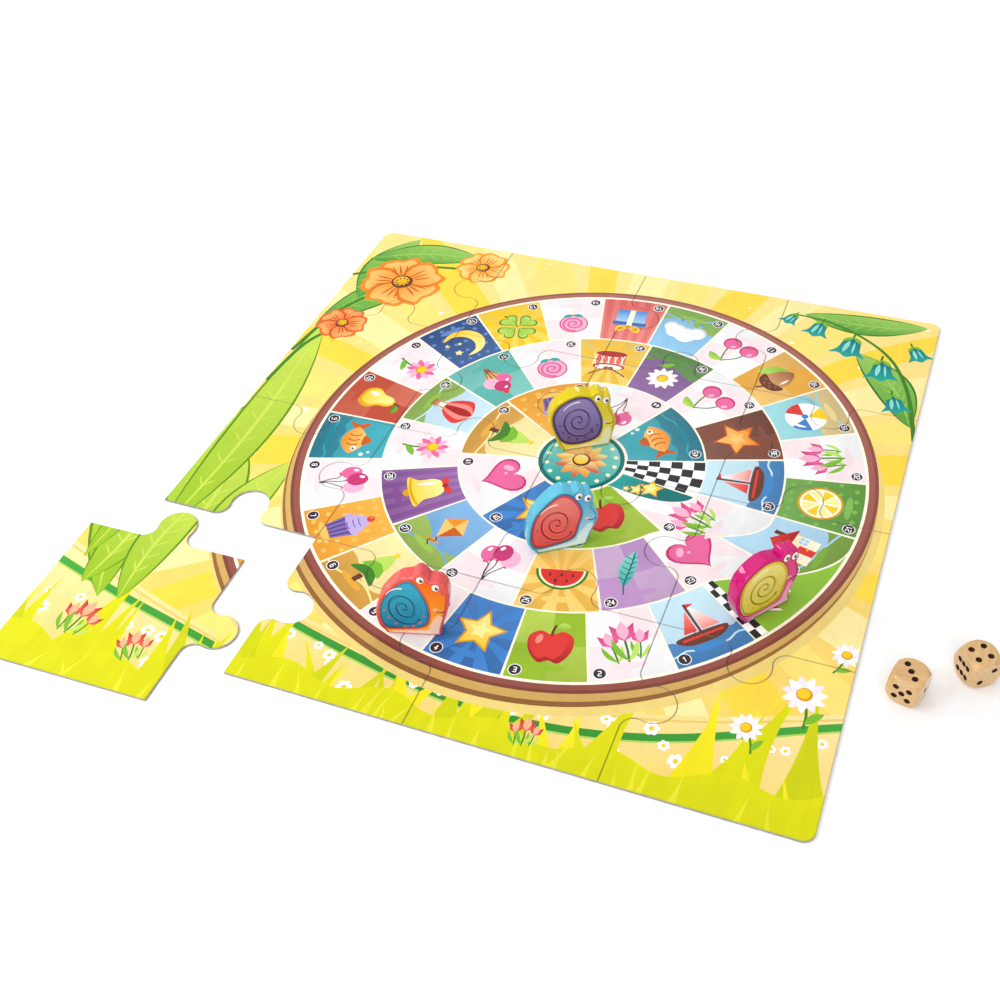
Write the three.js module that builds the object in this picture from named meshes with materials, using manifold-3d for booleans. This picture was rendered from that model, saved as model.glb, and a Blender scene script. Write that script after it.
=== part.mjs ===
// Snail race board game: a sixteen-piece jigsaw board with one corner piece pulled out,
// four standing snail pawns and two ball-cornered wooden dice. Millimetres, +Z up.
import * as THREE from 'three';
import { mergeVertices } from 'three/addons/utils/BufferGeometryUtils.js';
import Module from 'manifold-3d';

const wasm = await Module();
wasm.setup();

// Jigsaw board: a square grid of tiles, row 1 at the back and column 1 at the left
const ROWS = 4;
const COLUMNS = 4;
const TILE_PITCH = 120;
const BOARD_THICKNESS = 2;
const BOARD_CORNER_RADIUS = 7;
const CUT_WIDTH = 0.3;

// Jigsaw knob: a round head joined to the tile's edge by two mouth fillets
const KNOB_REACH = 28;
const KNOB_HEAD_RADIUS = 13.5;
const KNOB_MOUTH_RADIUS = 8.6;
const HEAD_STEPS = 14;
const MOUTH_STEPS = 5;
const CORNER_STEPS = 4;

// The front left corner tile lies apart from the board, with its knobs clear of the open sockets
const LOOSE_ROW = 4;
const LOOSE_COLUMN = 1;
const LOOSE_GAP_X = 7.3;
const LOOSE_GAP_Y = 6.4;
const LOOSE_TURN = 1;

// Snail pawns: a flat profile cut from thick stock, with every edge rounded over
const PAWN_THICKNESS = 10.5;
const PAWN_EDGE_RADIUS = 1.5;
const PAWN_EDGE_STEPS = 2;
const PAWN_FOOT_LENGTH = 35.5;
const PAWN_HEIGHT = 50;
const PAWN_FOOT_RADIUS = 2;
const PAWN_SEAT_GAP = 0.3;
const OUTLINE_STEPS = 6;

// Each snail's own shape: points [x, y] from the heel, in percent of the foot's length and of the pawn's
// height. It stands on the tile at row, column, at spot from that tile's centre in percent of the tile.
const SNAILS = [
  {
    name: 'pink',
    colour: 0xd6127f,
    row: 3,
    column: 4,
    spot: [-3.5, -23],
    turn: 51.1,
    shell: { low: [-12, 20], back: [-19, 48], shoulder: [-7, 78], crown: [34, 95], nape: [72, 88] },
    eyes: { rear: [83, 95], dip: [94, 89], front: [108.5, 87] },
    face: { notch: [106, 70], nose: [113, 46], chin: [98, 18] },
  },
  {
    name: 'red',
    colour: 0xe8585a,
    row: 4,
    column: 2,
    spot: [30.9, 7],
    turn: 14.2,
    shell: { low: [-9, 15], back: [-10, 38], shoulder: [3, 67], crown: [37, 97], nape: [65, 104] },
    eyes: { rear: [79, 111], dip: [93, 98], front: [117.5, 91] },
    face: { notch: [121, 64], nose: [117, 48], chin: [104, 18] },
  },
  {
    name: 'blue',
    colour: 0x45b5df,
    row: 3,
    column: 3,
    spot: [-18.8, -12.9],
    turn: 34.2,
    shell: { low: [-9, 14], back: [-12, 32], shoulder: [3, 70], crown: [48, 101], nape: [77, 97] },
    eyes: { rear: [89, 99], dip: [99, 92], front: [113, 86.5] },
    face: { notch: [112, 68], nose: [123, 47], chin: [108, 20] },
  },
  {
    name: 'yellow',
    colour: 0xe3ce10,
    row: 2,
    column: 3,
    spot: [-33, -30],
    turn: 30.6,
    shell: { low: [-10, 24], back: [-21, 58], shoulder: [-8, 84], crown: [31, 99], nape: [64, 94] },
    eyes: { rear: [78, 98], dip: [89, 91], front: [101.5, 87.5] },
    face: { notch: [101, 70], nose: [112, 43], chin: [105, 18] },
  },
];

// Dice: a cube whose corners are cut by one ball, lying on the table beside the board
const DIE_SIZE = 20;
const DIE_BALL_RADIUS = 14;
const BALL_SIDES = 32;
const BALL_RINGS = 16;
const FIRST_DIE_GAP = 20.2;
const FIRST_DIE_Y = -124.1;
const FIRST_DIE_TURN = -15.5;
const SECOND_DIE_GAP_X = 15.6;
const SECOND_DIE_GAP_Y = 6.2;
const SECOND_DIE_TURN = 37.4;

// Finishes
const PRINT_COLOUR = 0xfde9a0;
const WOOD_COLOUR = 0xe0b67e;
const PRINT_ROUGHNESS = 0.42;
const PAINT_ROUGHNESS = 0.28;
const WOOD_ROUGHNESS = 0.4;

const tileHalf = TILE_PITCH / 2;
const cutHalf = CUT_WIDTH / 2;

// Exact turns of the four sides of a tile, walked counterclockwise from its front side
const SIDES = [
  { name: 'front', cos: 1, sin: 0, rowStep: 1, columnStep: 0 },
  { name: 'right', cos: 0, sin: 1, rowStep: 0, columnStep: 1 },
  { name: 'back', cos: -1, sin: 0, rowStep: -1, columnStep: 0 },
  { name: 'left', cos: 0, sin: -1, rowStep: 0, columnStep: -1 },
];

function finish(colour, roughness) {
  return new THREE.MeshStandardMaterial({ color: colour, roughness, metalness: 0 });
}

// Keeps only positions and joins the shared corners, so that the surface is closed
function closed(geometry) {
  geometry.deleteAttribute('normal');
  geometry.deleteAttribute('uv');
  return mergeVertices(geometry);
}

function toSolid(geometry) {
  const merged = closed(geometry);
  const vertProperties = Float32Array.from(merged.attributes.position.array);
  const triVerts = Uint32Array.from(merged.index.array);
  return new wasm.Manifold(new wasm.Mesh({ numProp: 3, vertProperties, triVerts }));
}

function toGeometry(solid) {
  const mesh = solid.getMesh();
  const geometry = new THREE.BufferGeometry();
  geometry.setAttribute('position', new THREE.BufferAttribute(mesh.vertProperties, 3));
  geometry.setIndex(new THREE.BufferAttribute(mesh.triVerts, 1));
  return geometry;
}

function addMesh(group, name, geometry, material) {
  const mesh = new THREE.Mesh(geometry, material);
  mesh.name = name;
  group.add(mesh);
  return mesh;
}

function arc(centreX, centreY, radius, startAngle, endAngle, steps) {
  const points = [];
  for (let step = 0; step <= steps; step += 1) {
    const angle = startAngle + ((endAngle - startAngle) * step) / steps;
    points.push([centreX + radius * Math.cos(angle), centreY + radius * Math.sin(angle)]);
  }
  return points;
}

// One knob along a side: [distance along the side, distance outward]. Sense is 1 for a tab and -1 for
// a socket. Half the cut comes off both, so a tab and its socket stay one cut width apart.
function knobPoints(sense) {
  const headHeight = KNOB_REACH - KNOB_HEAD_RADIUS;
  const span = KNOB_HEAD_RADIUS + KNOB_MOUTH_RADIUS;
  const rise = headHeight - KNOB_MOUTH_RADIUS;
  const mouthX = Math.sqrt(span * span - rise * rise);
  const lean = Math.atan2(rise, mouthX);
  const headRadius = KNOB_HEAD_RADIUS - sense * cutHalf;
  const mouthRadius = KNOB_MOUTH_RADIUS + sense * cutHalf;
  const nearMouth = arc(-mouthX, KNOB_MOUTH_RADIUS, mouthRadius, -Math.PI / 2, lean, MOUTH_STEPS);
  const head = arc(0, headHeight, headRadius, Math.PI + lean, -lean, HEAD_STEPS);
  const farMouth = arc(mouthX, KNOB_MOUTH_RADIUS, mouthRadius, Math.PI - lean, 1.5 * Math.PI, MOUTH_STEPS);
  const walk = [...nearMouth, ...head.slice(1, -1), ...farMouth];
  return walk.map(([along, outward]) => [along, sense * outward]);
}

function isInside(row, column) {
  return row >= 1 && row <= ROWS && column >= 1 && column <= COLUMNS;
}

// Tiles alternate like a chequerboard: one kind has tabs on all its inner sides, the other sockets
function knobSense(row, column) {
  return (row + column) % 2 === 1 ? 1 : -1;
}

function tileOutline(row, column) {
  const inner = SIDES.map((side) => isInside(row + side.rowStep, column + side.columnStep));
  const outline = [];
  SIDES.forEach((side, index) => {
    const previous = (index + SIDES.length - 1) % SIDES.length;
    const edge = inner[index] ? -cutHalf : 0;
    const start = -tileHalf + (inner[previous] ? cutHalf : 0);
    let walk = [[start, edge]];
    if (!inner[index] && !inner[previous]) {
      const centre = -tileHalf + BOARD_CORNER_RADIUS;
      walk = arc(centre, -BOARD_CORNER_RADIUS, BOARD_CORNER_RADIUS, Math.PI, Math.PI / 2, CORNER_STEPS);
    }
    if (inner[index]) {
      walk = [...walk, ...knobPoints(knobSense(row, column))];
    }
    walk.forEach(([along, outward]) => {
      const reach = tileHalf + outward;
      const x = along * side.cos + reach * side.sin;
      const y = along * side.sin - reach * side.cos;
      outline.push(new THREE.Vector2(x, y));
    });
  });
  return new THREE.Shape(outline);
}

function tileCentre(row, column) {
  const x = (column - (COLUMNS + 1) / 2) * TILE_PITCH;
  const y = ((ROWS + 1) / 2 - row) * TILE_PITCH;
  return [x, y];
}

function addBoard(group) {
  for (let row = 1; row <= ROWS; row += 1) {
    for (let column = 1; column <= COLUMNS; column += 1) {
      const slab = new THREE.ExtrudeGeometry(tileOutline(row, column), {
        depth: BOARD_THICKNESS,
        bevelEnabled: false,
      });
      const name = `puzzle_piece_r${row}c${column}`;
      const tile = addMesh(group, name, closed(slab), finish(PRINT_COLOUR, PRINT_ROUGHNESS));
      const [x, y] = tileCentre(row, column);
      tile.position.set(x, y, 0);
      if (row === LOOSE_ROW && column === LOOSE_COLUMN) {
        tile.position.x -= KNOB_REACH + LOOSE_GAP_X;
        tile.position.y -= KNOB_REACH + LOOSE_GAP_Y;
        tile.rotation.z = THREE.MathUtils.degToRad(LOOSE_TURN);
      }
    }
  }
}

// A round arch from the outline's last point to the end, through the top at its middle
function addArch(outline, top, end) {
  const middle = outline.currentPoint.clone().add(end).divideScalar(2);
  const control = top.clone().multiplyScalar(2).sub(middle);
  outline.quadraticCurveTo(control.x, control.y, end.x, end.y);
}

// The snail seen from its broad side: x runs from heel to toe along the flat foot, y runs up.
// Each eye is an arch, with a crease at the nape, at the dip between the eyes and at the face's notch.
function snailOutline({ shell, eyes, face }) {
  const scale = new THREE.Vector2(PAWN_FOOT_LENGTH / 100, PAWN_HEIGHT / 100);
  const place = ([x, y]) => new THREE.Vector2(x, y).multiply(scale);
  const toe = new THREE.Vector2(PAWN_FOOT_LENGTH, PAWN_FOOT_RADIUS);
  const outline = new THREE.Shape();
  outline.moveTo(PAWN_FOOT_RADIUS, 0);
  outline.quadraticCurveTo(0, 0, 0, PAWN_FOOT_RADIUS);
  outline.splineThru(Object.values(shell).map(place));
  addArch(outline, place(eyes.rear), place(eyes.dip));
  addArch(outline, place(eyes.front), place(face.notch));
  outline.splineThru([place(face.nose), place(face.chin), toe]);
  outline.quadraticCurveTo(PAWN_FOOT_LENGTH, 0, PAWN_FOOT_LENGTH - PAWN_FOOT_RADIUS, 0);
  return outline;
}

function pawnGeometry(snail) {
  const stock = new THREE.ExtrudeGeometry(snailOutline(snail), {
    depth: PAWN_THICKNESS - 2 * PAWN_EDGE_RADIUS,
    bevelSize: PAWN_EDGE_RADIUS,
    bevelThickness: PAWN_EDGE_RADIUS,
    bevelOffset: -PAWN_EDGE_RADIUS,
    bevelSegments: PAWN_EDGE_STEPS,
    curveSegments: OUTLINE_STEPS,
  });
  stock.translate(-PAWN_FOOT_LENGTH / 2, 0, PAWN_EDGE_RADIUS - PAWN_THICKNESS / 2);
  const upright = new THREE.Matrix4().set(1, 0, 0, 0, 0, 0, -1, 0, 0, 1, 0, 0, 0, 0, 0, 1);
  stock.applyMatrix4(upright);
  return closed(stock);
}

function addPawns(group) {
  SNAILS.forEach((snail) => {
    const paint = finish(snail.colour, PAINT_ROUGHNESS);
    const pawn = addMesh(group, `snail_pawn_${snail.name}`, pawnGeometry(snail), paint);
    const [centreX, centreY] = tileCentre(snail.row, snail.column);
    const x = centreX + (snail.spot[0] * TILE_PITCH) / 100;
    const y = centreY + (snail.spot[1] * TILE_PITCH) / 100;
    pawn.position.set(x, y, BOARD_THICKNESS + PAWN_SEAT_GAP);
    pawn.rotation.z = THREE.MathUtils.degToRad(snail.turn);
  });
}

function dieGeometry() {
  const cube = toSolid(new THREE.BoxGeometry(DIE_SIZE, DIE_SIZE, DIE_SIZE));
  const ball = toSolid(new THREE.SphereGeometry(DIE_BALL_RADIUS, BALL_SIDES, BALL_RINGS));
  return toGeometry(cube.intersect(ball));
}

function addDice(group) {
  const boardRight = (COLUMNS * TILE_PITCH) / 2;
  const firstX = boardRight + DIE_SIZE / 2 + FIRST_DIE_GAP;
  const places = [
    { x: firstX, y: FIRST_DIE_Y, turn: FIRST_DIE_TURN },
    {
      x: firstX + DIE_SIZE + SECOND_DIE_GAP_X,
      y: FIRST_DIE_Y + DIE_SIZE + SECOND_DIE_GAP_Y,
      turn: SECOND_DIE_TURN,
    },
  ];
  places.forEach(({ x, y, turn }, index) => {
    const die = addMesh(group, `die_${index + 1}`, dieGeometry(), finish(WOOD_COLOUR, WOOD_ROUGHNESS));
    die.position.set(x, y, DIE_SIZE / 2);
    die.rotation.z = THREE.MathUtils.degToRad(turn);
  });
}

const game = new THREE.Group();
addBoard(game);
addPawns(game);
addDice(game);

// The frame's origin is on the table, under the middle of the whole set as it is laid out
const bounds = new THREE.Box3().setFromObject(game, true);
const middle = bounds.getCenter(new THREE.Vector3());
game.position.set(-middle.x, -middle.y, -bounds.min.z);

export default game;
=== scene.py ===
import math
import random

import bmesh
import bpy
from mathutils import Matrix, Vector
from mathutils.geometry import delaunay_2d_cdt


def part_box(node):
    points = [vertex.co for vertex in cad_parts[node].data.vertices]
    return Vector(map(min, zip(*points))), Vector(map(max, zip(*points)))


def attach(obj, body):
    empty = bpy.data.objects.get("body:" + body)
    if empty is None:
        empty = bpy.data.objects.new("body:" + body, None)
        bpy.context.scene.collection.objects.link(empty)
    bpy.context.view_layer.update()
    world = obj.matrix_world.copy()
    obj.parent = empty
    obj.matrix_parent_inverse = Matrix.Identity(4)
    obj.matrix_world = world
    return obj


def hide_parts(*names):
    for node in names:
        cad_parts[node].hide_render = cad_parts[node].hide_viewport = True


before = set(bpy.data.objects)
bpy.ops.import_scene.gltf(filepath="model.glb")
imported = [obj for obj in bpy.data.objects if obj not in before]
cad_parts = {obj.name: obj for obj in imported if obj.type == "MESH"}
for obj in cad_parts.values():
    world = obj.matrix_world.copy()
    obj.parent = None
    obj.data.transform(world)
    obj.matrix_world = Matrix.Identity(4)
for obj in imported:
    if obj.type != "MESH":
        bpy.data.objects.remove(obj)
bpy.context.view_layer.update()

TAU = math.tau
MM = 0.001

# Jigsaw board
ROWS = 4
COLUMNS = 4
PITCH = 120.0
THICKNESS = 2.0
CORNER_RADIUS = 7.0
CUT_WIDTH = 0.3
CUT_EDGE = 0.45
CUT_DROP = 0.3
KNOB_REACH = 28.0
KNOB_HEAD_RADIUS = 13.5
KNOB_MOUTH_RADIUS = 8.6
LOOSE_TILE = (4, 1)
LOOSE_SHIFT = (-35.3, -34.4)
LOOSE_TURN = math.radians(1.0)
BOARD_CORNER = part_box("puzzle_piece_r1c4")[1]
BOARD_X = BOARD_CORNER[0] - COLUMNS / 2 * PITCH * MM
BOARD_Y = BOARD_CORNER[1] - ROWS / 2 * PITCH * MM

# Printed race track: a lane that winds inwards round a home disc
TRACK_X = 24.0
TRACK_Y = 7.0
TRACK_RADIUS = 197.0
LANE_WIDTH = 55.0
LANE_SHIFT = math.radians(30)
HOME_RADIUS = 32.0
START_ANGLE = math.radians(-38)
FINISH_SPAN = math.radians(24)
CELL_LENGTH = 46.0
CELL_BORDER = 0.7
PICTURE_SIZE = 17.5
BADGE_RADIUS = 4.3
DIGIT_SIZE = 1.75
START_SQUARE = 6.6
START_STEP = 0.025
# Share of the print's colour kept between a cut's outline and its inner loop: painted shade on a
# tile's sloping cut edge, and on a pawn a thin darker rim round the edge of its print
CUT_EDGE_PAINTED_SHADE = 0.8
SHEET_HALF = 241

# Snail pawns
PAWN_THICKNESS = 10.5
PAWN_EDGE = 1.5
PAWN_RIM = 0.35
PAWN_FOOT_LENGTH = 35.5
PAWN_HEIGHT = 50.0
PAWN_FOOT_RADIUS = 2.0
PAWN_SEAT_GAP = 0.3
PAWN_CREASE = math.radians(30)

# Dice
DIE_SIZE = 20.0
DIE_BALL_RADIUS = 14.0
DIE_ROUNDING = 0.7
DIE_GRID = 41
PIP_RADIUS = 1.9
PIP_DEPTH = 0.7
PIP_SPACING = 4.0
DIE_CREASE = math.radians(33)
SLIVER = 0.002

# Camera, placed from the middle of the board, and studio: metres and degrees
CAMERA_LENS = 44.98
CAMERA_SHIFT = -0.0447
CAMERA_PLACE = (0.25435, -0.60562, 0.59524)
CAMERA_TURN = (46.019, 2.589, 20.532)
FLOOR_SIZE = 20.0
WORLD_LIGHT = 0.55

# Ink tones, dark to light
PINK = ("#C5356F", "#E5659B", "#F7B0CC")
RED = ("#A81E22", "#DB3A35", "#F58A7C")
ORANGE = ("#C85A10", "#F28C1E", "#FFC36B")
YELLOW = ("#D99A08", "#FFCB21", "#FFEE98")
GREEN = ("#3E7F22", "#78B82E", "#BADB62")
TEAL = ("#0B6E70", "#1FA39C", "#8FD8CF")
BLUE = ("#234E96", "#3F7FC8", "#A3CCF0")
PURPLE = ("#54417F", "#7F66AE", "#BCA9DB")
BROWN = ("#6A3826", "#9A5B38", "#CB9566")
WHITE = ("#C9D3DC", "#F4F7F8", "#FFFFFF")
INK = "#3A2C33"
BLACK = "#2A2A30"
CREAM = "#FFF3D8"
PAPER = "#FFFFFF"


def linear(code):
    """A hex colour as scene-linear red, green and blue."""
    values = [int(code[i:i + 2], 16) / 255 for i in (1, 3, 5)]
    return tuple(v / 12.92 if v <= 0.04045 else ((v + 0.055) / 1.055) ** 2.4 for v in values)


def tint(code, share, other=PAPER):
    """A hex colour moved some way towards another."""
    mixed = []
    for i in (1, 3, 5):
        mixed.append(round(int(code[i:i + 2], 16) * (1 - share) + int(other[i:i + 2], 16) * share))
    return "#%02X%02X%02X" % tuple(mixed)


def blend(first, second, share):
    """A point or colour some way from one towards another."""
    return tuple(a + (b - a) * share for a, b in zip(first, second))


# Outlines: lists of points, none of which may cross themselves

def polar(radius, angle, x=0.0, y=0.0):
    return (x + radius * math.cos(angle), y + radius * math.sin(angle))


def arc(x, y, radius, start, end, steps):
    return [polar(radius, start + (end - start) * i / steps, x, y) for i in range(steps + 1)]


def oval(x, y, rx, ry=None, turn=0.0, sides=24):
    ry = rx if ry is None else ry
    points = []
    for i in range(sides):
        u = rx * math.cos(TAU * i / sides)
        v = ry * math.sin(TAU * i / sides)
        points.append((x + u * math.cos(turn) - v * math.sin(turn),
                       y + u * math.sin(turn) + v * math.cos(turn)))
    return points


def box(x0, y0, x1, y1):
    return [(x0, y0), (x1, y0), (x1, y1), (x0, y1)]


def star(x, y, radius, inner=0.5):
    """A star with five points."""
    return [polar(radius * inner if i % 2 else radius, math.pi / 2 + math.pi * i / 5, x, y)
            for i in range(10)]


def heart(x, y, size):
    points = []
    for i in range(30):
        a = TAU * (i + 0.5) / 30
        u = 16 * math.sin(a) ** 3
        v = 13 * math.cos(a) - 5 * math.cos(2 * a) - 2 * math.cos(3 * a) - math.cos(4 * a)
        points.append((x + size * u / 16, y + size * (v + 2.5) / 16))
    return points


def drop(x, y, size):
    points = []
    for i in range(20):
        a = TAU * i / 20
        points.append((x + size * 0.62 * math.sin(a) * math.sin(a / 2) ** 1.3,
                       y + size * math.cos(a)))
    return points


def strip(start, end, steps, offset):
    """Both edges of a strip between two points, set off by a function of place and side."""
    run = (end[0] - start[0], end[1] - start[1])
    length = math.hypot(*run)
    side = (-run[1] / length, run[0] / length)
    edges = ([], [])
    for edge, sign in zip(edges, (1, -1)):
        for i in range(steps + 1):
            off = offset(i / steps, sign)
            edge.append(tuple(start[k] + run[k] * (i / steps) + side[k] * off for k in (0, 1)))
    return edges


def leaf(start, end, width, bow=0.0, steps=10):
    """A pointed leaf between two points, bowed sideways."""
    def offset(t, sign):
        swell = max(0.0, math.sin(math.pi * t))
        return bow * swell + sign * width * swell ** 0.8

    left, right = strip(start, end, steps, offset)
    return right + left[-2:0:-1]


def blade(base, tip, width, bow=0.0):
    """A grass blade that flares at its base and bows towards its tip."""
    def offset(t, sign):
        return bow * t * t + sign * width / 2 * (0.35 * (1 - t) + 0.65 * (1 - t) ** 3)

    left, right = strip(base, tip, 14, offset)
    return right + left[-2::-1]


def mirrored(points):
    """The left half of an outline with its right half added."""
    return points + [(-x, y) for x, y in points[::-1] if x]


def stroke(points, width, taper=0.0):
    """A band along a smooth line, narrower towards its end."""
    last = len(points) - 1
    left = []
    right = []
    for i, (x, y) in enumerate(points):
        ax, ay = points[max(i - 1, 0)]
        bx, by = points[min(i + 1, last)]
        half = width / 2 * (1 - taper * i / last) / math.hypot(bx - ax, by - ay)
        left.append((x + (ay - by) * half, y + (bx - ax) * half))
        right.append((x - (ay - by) * half, y - (bx - ax) * half))
    return right + left[::-1]


def curve(points, steps, closed=True):
    """A smooth line through the points."""
    count = len(points)
    line = []
    for i in range(count if closed else count - 1):
        places = range(i - 1, i + 3)
        knots = [points[p % count if closed else min(max(p, 0), count - 1)] for p in places]
        for j in range(steps):
            t = j / steps
            weights = (-t + 2 * t * t - t ** 3, 2 - 5 * t * t + 3 * t ** 3,
                       t + 4 * t * t - 3 * t ** 3, -t * t + t ** 3)
            line.append(tuple(sum(w * knot[axis] for w, knot in zip(weights, knots)) / 2
                              for axis in (0, 1)))
    if not closed:
        line.append(points[-1])
    return line


def coil(x, y, radius, turns, squeeze=1.0, start=0.0, steps=22):
    """A spiral line that winds outwards from its middle."""
    points = []
    count = int(turns * steps)
    for i in range(2, count + 1):
        r = radius * i / count
        a = start + TAU * i / steps
        points.append((x + r * math.cos(a), y + r * squeeze * math.sin(a)))
    return points


def area(points):
    """The area inside an outline, positive where it runs counterclockwise."""
    total = 0.0
    for (ax, ay), (bx, by) in zip(points, points[1:] + points[:1]):
        total += ax * by - bx * ay
    return total / 2


class Layer:
    """One filled shape of a print, with an ink that may fade along a line."""

    def __init__(self, points, ink, fade, ramp):
        self.points = points if area(points) > 0 else points[::-1]
        self.ink = linear(ink)
        self.fade = linear(fade or ink)
        self.start = ramp[0]
        self.run = (ramp[1][0] - ramp[0][0], ramp[1][1] - ramp[0][1])
        xs = [p[0] for p in points]
        ys = [p[1] for p in points]
        self.low = (min(xs), min(ys))
        self.high = (max(xs), max(ys))

    def colour(self, x, y):
        length = max(self.run[0] ** 2 + self.run[1] ** 2, 1e-9)
        along = (x - self.start[0]) * self.run[0] + (y - self.start[1]) * self.run[1]
        return blend(self.ink, self.fade, min(max(along / length, 0.0), 1.0))

    def touches(self, low, high):
        return all(self.low[k] < high[k] and self.high[k] > low[k] for k in (0, 1))


class Pen:
    """Fills shapes, each over the last, at one place, turn and size on a sheet."""

    def __init__(self, sheet, x=0.0, y=0.0, turn=0.0, size=1.0):
        self.sheet = sheet
        self.x = x
        self.y = y
        self.turn = turn
        self.size = size

    def place(self, point):
        c = math.cos(self.turn) * self.size
        s = math.sin(self.turn) * self.size
        return (self.x + c * point[0] - s * point[1], self.y + s * point[0] + c * point[1])

    def at(self, x, y, turn=0.0, size=1.0):
        px, py = self.place((x, y))
        return Pen(self.sheet, px, py, self.turn + turn, self.size * size)

    def fill(self, points, ink, fade=None):
        ys = [p[1] for p in points]
        ramp = (self.place((0, min(ys))), self.place((0, max(ys))))
        self.sheet.append(Layer([self.place(p) for p in points], ink, fade, ramp))

    def smooth(self, points, steps, ink, fade=None):
        """Fills a smooth outline through the points."""
        self.fill(curve(points, steps), ink, fade)

    def line(self, points, width, ink):
        self.fill(stroke(points, width), ink)

    def trail(self, points, steps, width, ink):
        """Draws a smooth line through the points."""
        self.line(curve(points, steps, False), width, ink)


# Small pictures for the track, each about two units across and drawn with three tones

def draw_star(pen, tones):
    pen.fill(star(0, 0, 1.02), tones[0])
    pen.fill(star(0, 0, 0.86), tones[1], tones[2])
    pen.fill(star(0, 0.03, 0.42), tones[2])


def draw_heart(pen, tones):
    pen.fill(heart(0, 0, 0.98), tones[0])
    pen.fill(heart(0, 0.02, 0.86), tones[1])
    pen.fill(oval(-0.42, 0.4, 0.24, 0.14, 0.8), tones[2])
    pen.fill(oval(-0.16, 0.2, 0.07), tones[2])


def draw_moon(pen, tones):
    outer = arc(0, 0, 0.95, math.radians(71), math.radians(325.8), 26)
    inner = arc(0.36, 0.12, 0.78, math.radians(273.7), math.radians(123.1), 18)
    pen.fill(outer + inner[1:-1], tones[1], tones[2])
    for x, y, r in ((0.55, 0.5, 0.22), (0.75, -0.2, 0.14), (0.2, -0.05, 0.12)):
        pen.fill(star(x, y, r, 0.45), tones[2])


def draw_cloud(pen, tones):
    puffs = ((-0.55, -0.08, 0.36), (-0.12, 0.2, 0.46), (0.4, 0.08, 0.42), (0.72, -0.14, 0.28))
    for ink, rim, lift in ((tones[0], 0.07, -0.06), (tones[2], 0.0, 0.0)):
        for x, y, r in puffs:
            pen.fill(oval(x, y + lift, r + rim), ink)
    for x, y in ((-0.5, -0.72), (0.0, -0.84), (0.48, -0.7)):
        pen.fill(drop(x, y, 0.2), BLUE[1], BLUE[2])


def draw_fish(pen, tones):
    pen.smooth([(-0.5, 0.05), (-1.0, 0.48), (-0.86, 0.0), (-1.0, -0.48)], 5, tones[0])
    pen.fill(leaf((-0.72, 0), (0.98, 0), 0.52), tones[1], tones[2])
    pen.fill(leaf((-0.2, 0.44), (0.42, 0.42), 0.2, 0.14), tones[0])
    for x in (-0.28, 0.02, 0.3):
        pen.line(arc(x - 0.2, 0, 0.34, -0.8, 0.8, 8), 0.07, tones[0])
    pen.fill(oval(0.62, 0.12, 0.12), PAPER)
    pen.fill(oval(0.65, 0.12, 0.06), INK)
    for x, y, r in ((0.95, 0.55, 0.1), (0.8, 0.82, 0.07)):
        pen.fill(oval(x, y, r), "#E4F4F8")


def draw_boat(pen, tones):
    pen.fill(box(-0.05, -0.5, 0.05, 0.98), BROWN[0])
    pen.fill([(0.1, -0.3), (0.8, -0.3), (0.1, 0.9)], tones[2], PAPER)
    pen.fill([(-0.1, -0.3), (-0.1, 0.7), (-0.62, -0.3)], tones[1], tones[2])
    pen.smooth([(-0.95, -0.4), (0.95, -0.4), (0.6, -0.82), (-0.6, -0.82)], 5, BROWN[0])
    pen.fill(box(-0.8, -0.6, 0.8, -0.5), tones[1])
    pen.fill([(0.05, 0.98), (0.05, 0.78), (0.36, 0.88)], RED[1])


def draw_balloons(pen, tones):
    spots = ((-0.42, 0.32, tones[1]), (0.42, 0.4, tones[2]), (0.0, 0.56, tones[0]))
    for x, y, ink in spots:
        string = [(x, y - 0.4), (x * 0.6 + 0.05, -0.2), (x * 0.25 - 0.03, -0.6), (0, -1.0)]
        pen.trail(string, 6, 0.045, INK)
    for x, y, ink in spots:
        pen.fill([(x - 0.09, y - 0.5), (x + 0.09, y - 0.5), (x, y - 0.36)], tones[0])
        pen.fill(oval(x, y, 0.36, 0.43), ink)
        pen.fill(oval(x - 0.13, y + 0.18, 0.07, 0.12, -0.4), PAPER)


def draw_kite(pen, tones):
    pen.trail([(0, -0.5), (0.16, -0.66), (-0.1, -0.8), (0.12, -1.0)], 6, 0.05, INK)
    pen.fill([(0, 1.0), (-0.6, 0.32), (0, 0.32)], tones[1])
    pen.fill([(0, 1.0), (0, 0.32), (0.6, 0.32)], tones[2])
    pen.fill([(-0.6, 0.32), (0, -0.5), (0, 0.32)], tones[2])
    pen.fill([(0, -0.5), (0.6, 0.32), (0, 0.32)], tones[0])
    for x, y in ((0.14, -0.66), (-0.08, -0.8)):
        pen.fill([(x, y), (x - 0.18, y + 0.09), (x - 0.18, y - 0.09)], tones[1])
        pen.fill([(x, y), (x + 0.18, y - 0.09), (x + 0.18, y + 0.09)], tones[1])


def draw_bell(pen, tones):
    pen.fill(oval(0, -0.66, 0.2), tones[0])
    cup = mirrored([(-0.2, 0.82), (-0.5, 0.5), (-0.58, -0.1), (-0.85, -0.52), (0, -0.62)])
    pen.smooth(cup, 5, tones[1], tones[2])
    pen.line(arc(0, 1.9, 2.42, -1.9, -1.24, 12), 0.09, tones[0])
    pen.fill(leaf((-0.36, -0.2), (-0.22, 0.62), 0.07), PAPER)
    for x in (-0.5, 0.5):
        pen.fill(leaf((0, 0.84), (x, 1.0), 0.15), RED[1])
    pen.fill(oval(0, 0.86, 0.12), RED[0])


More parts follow.
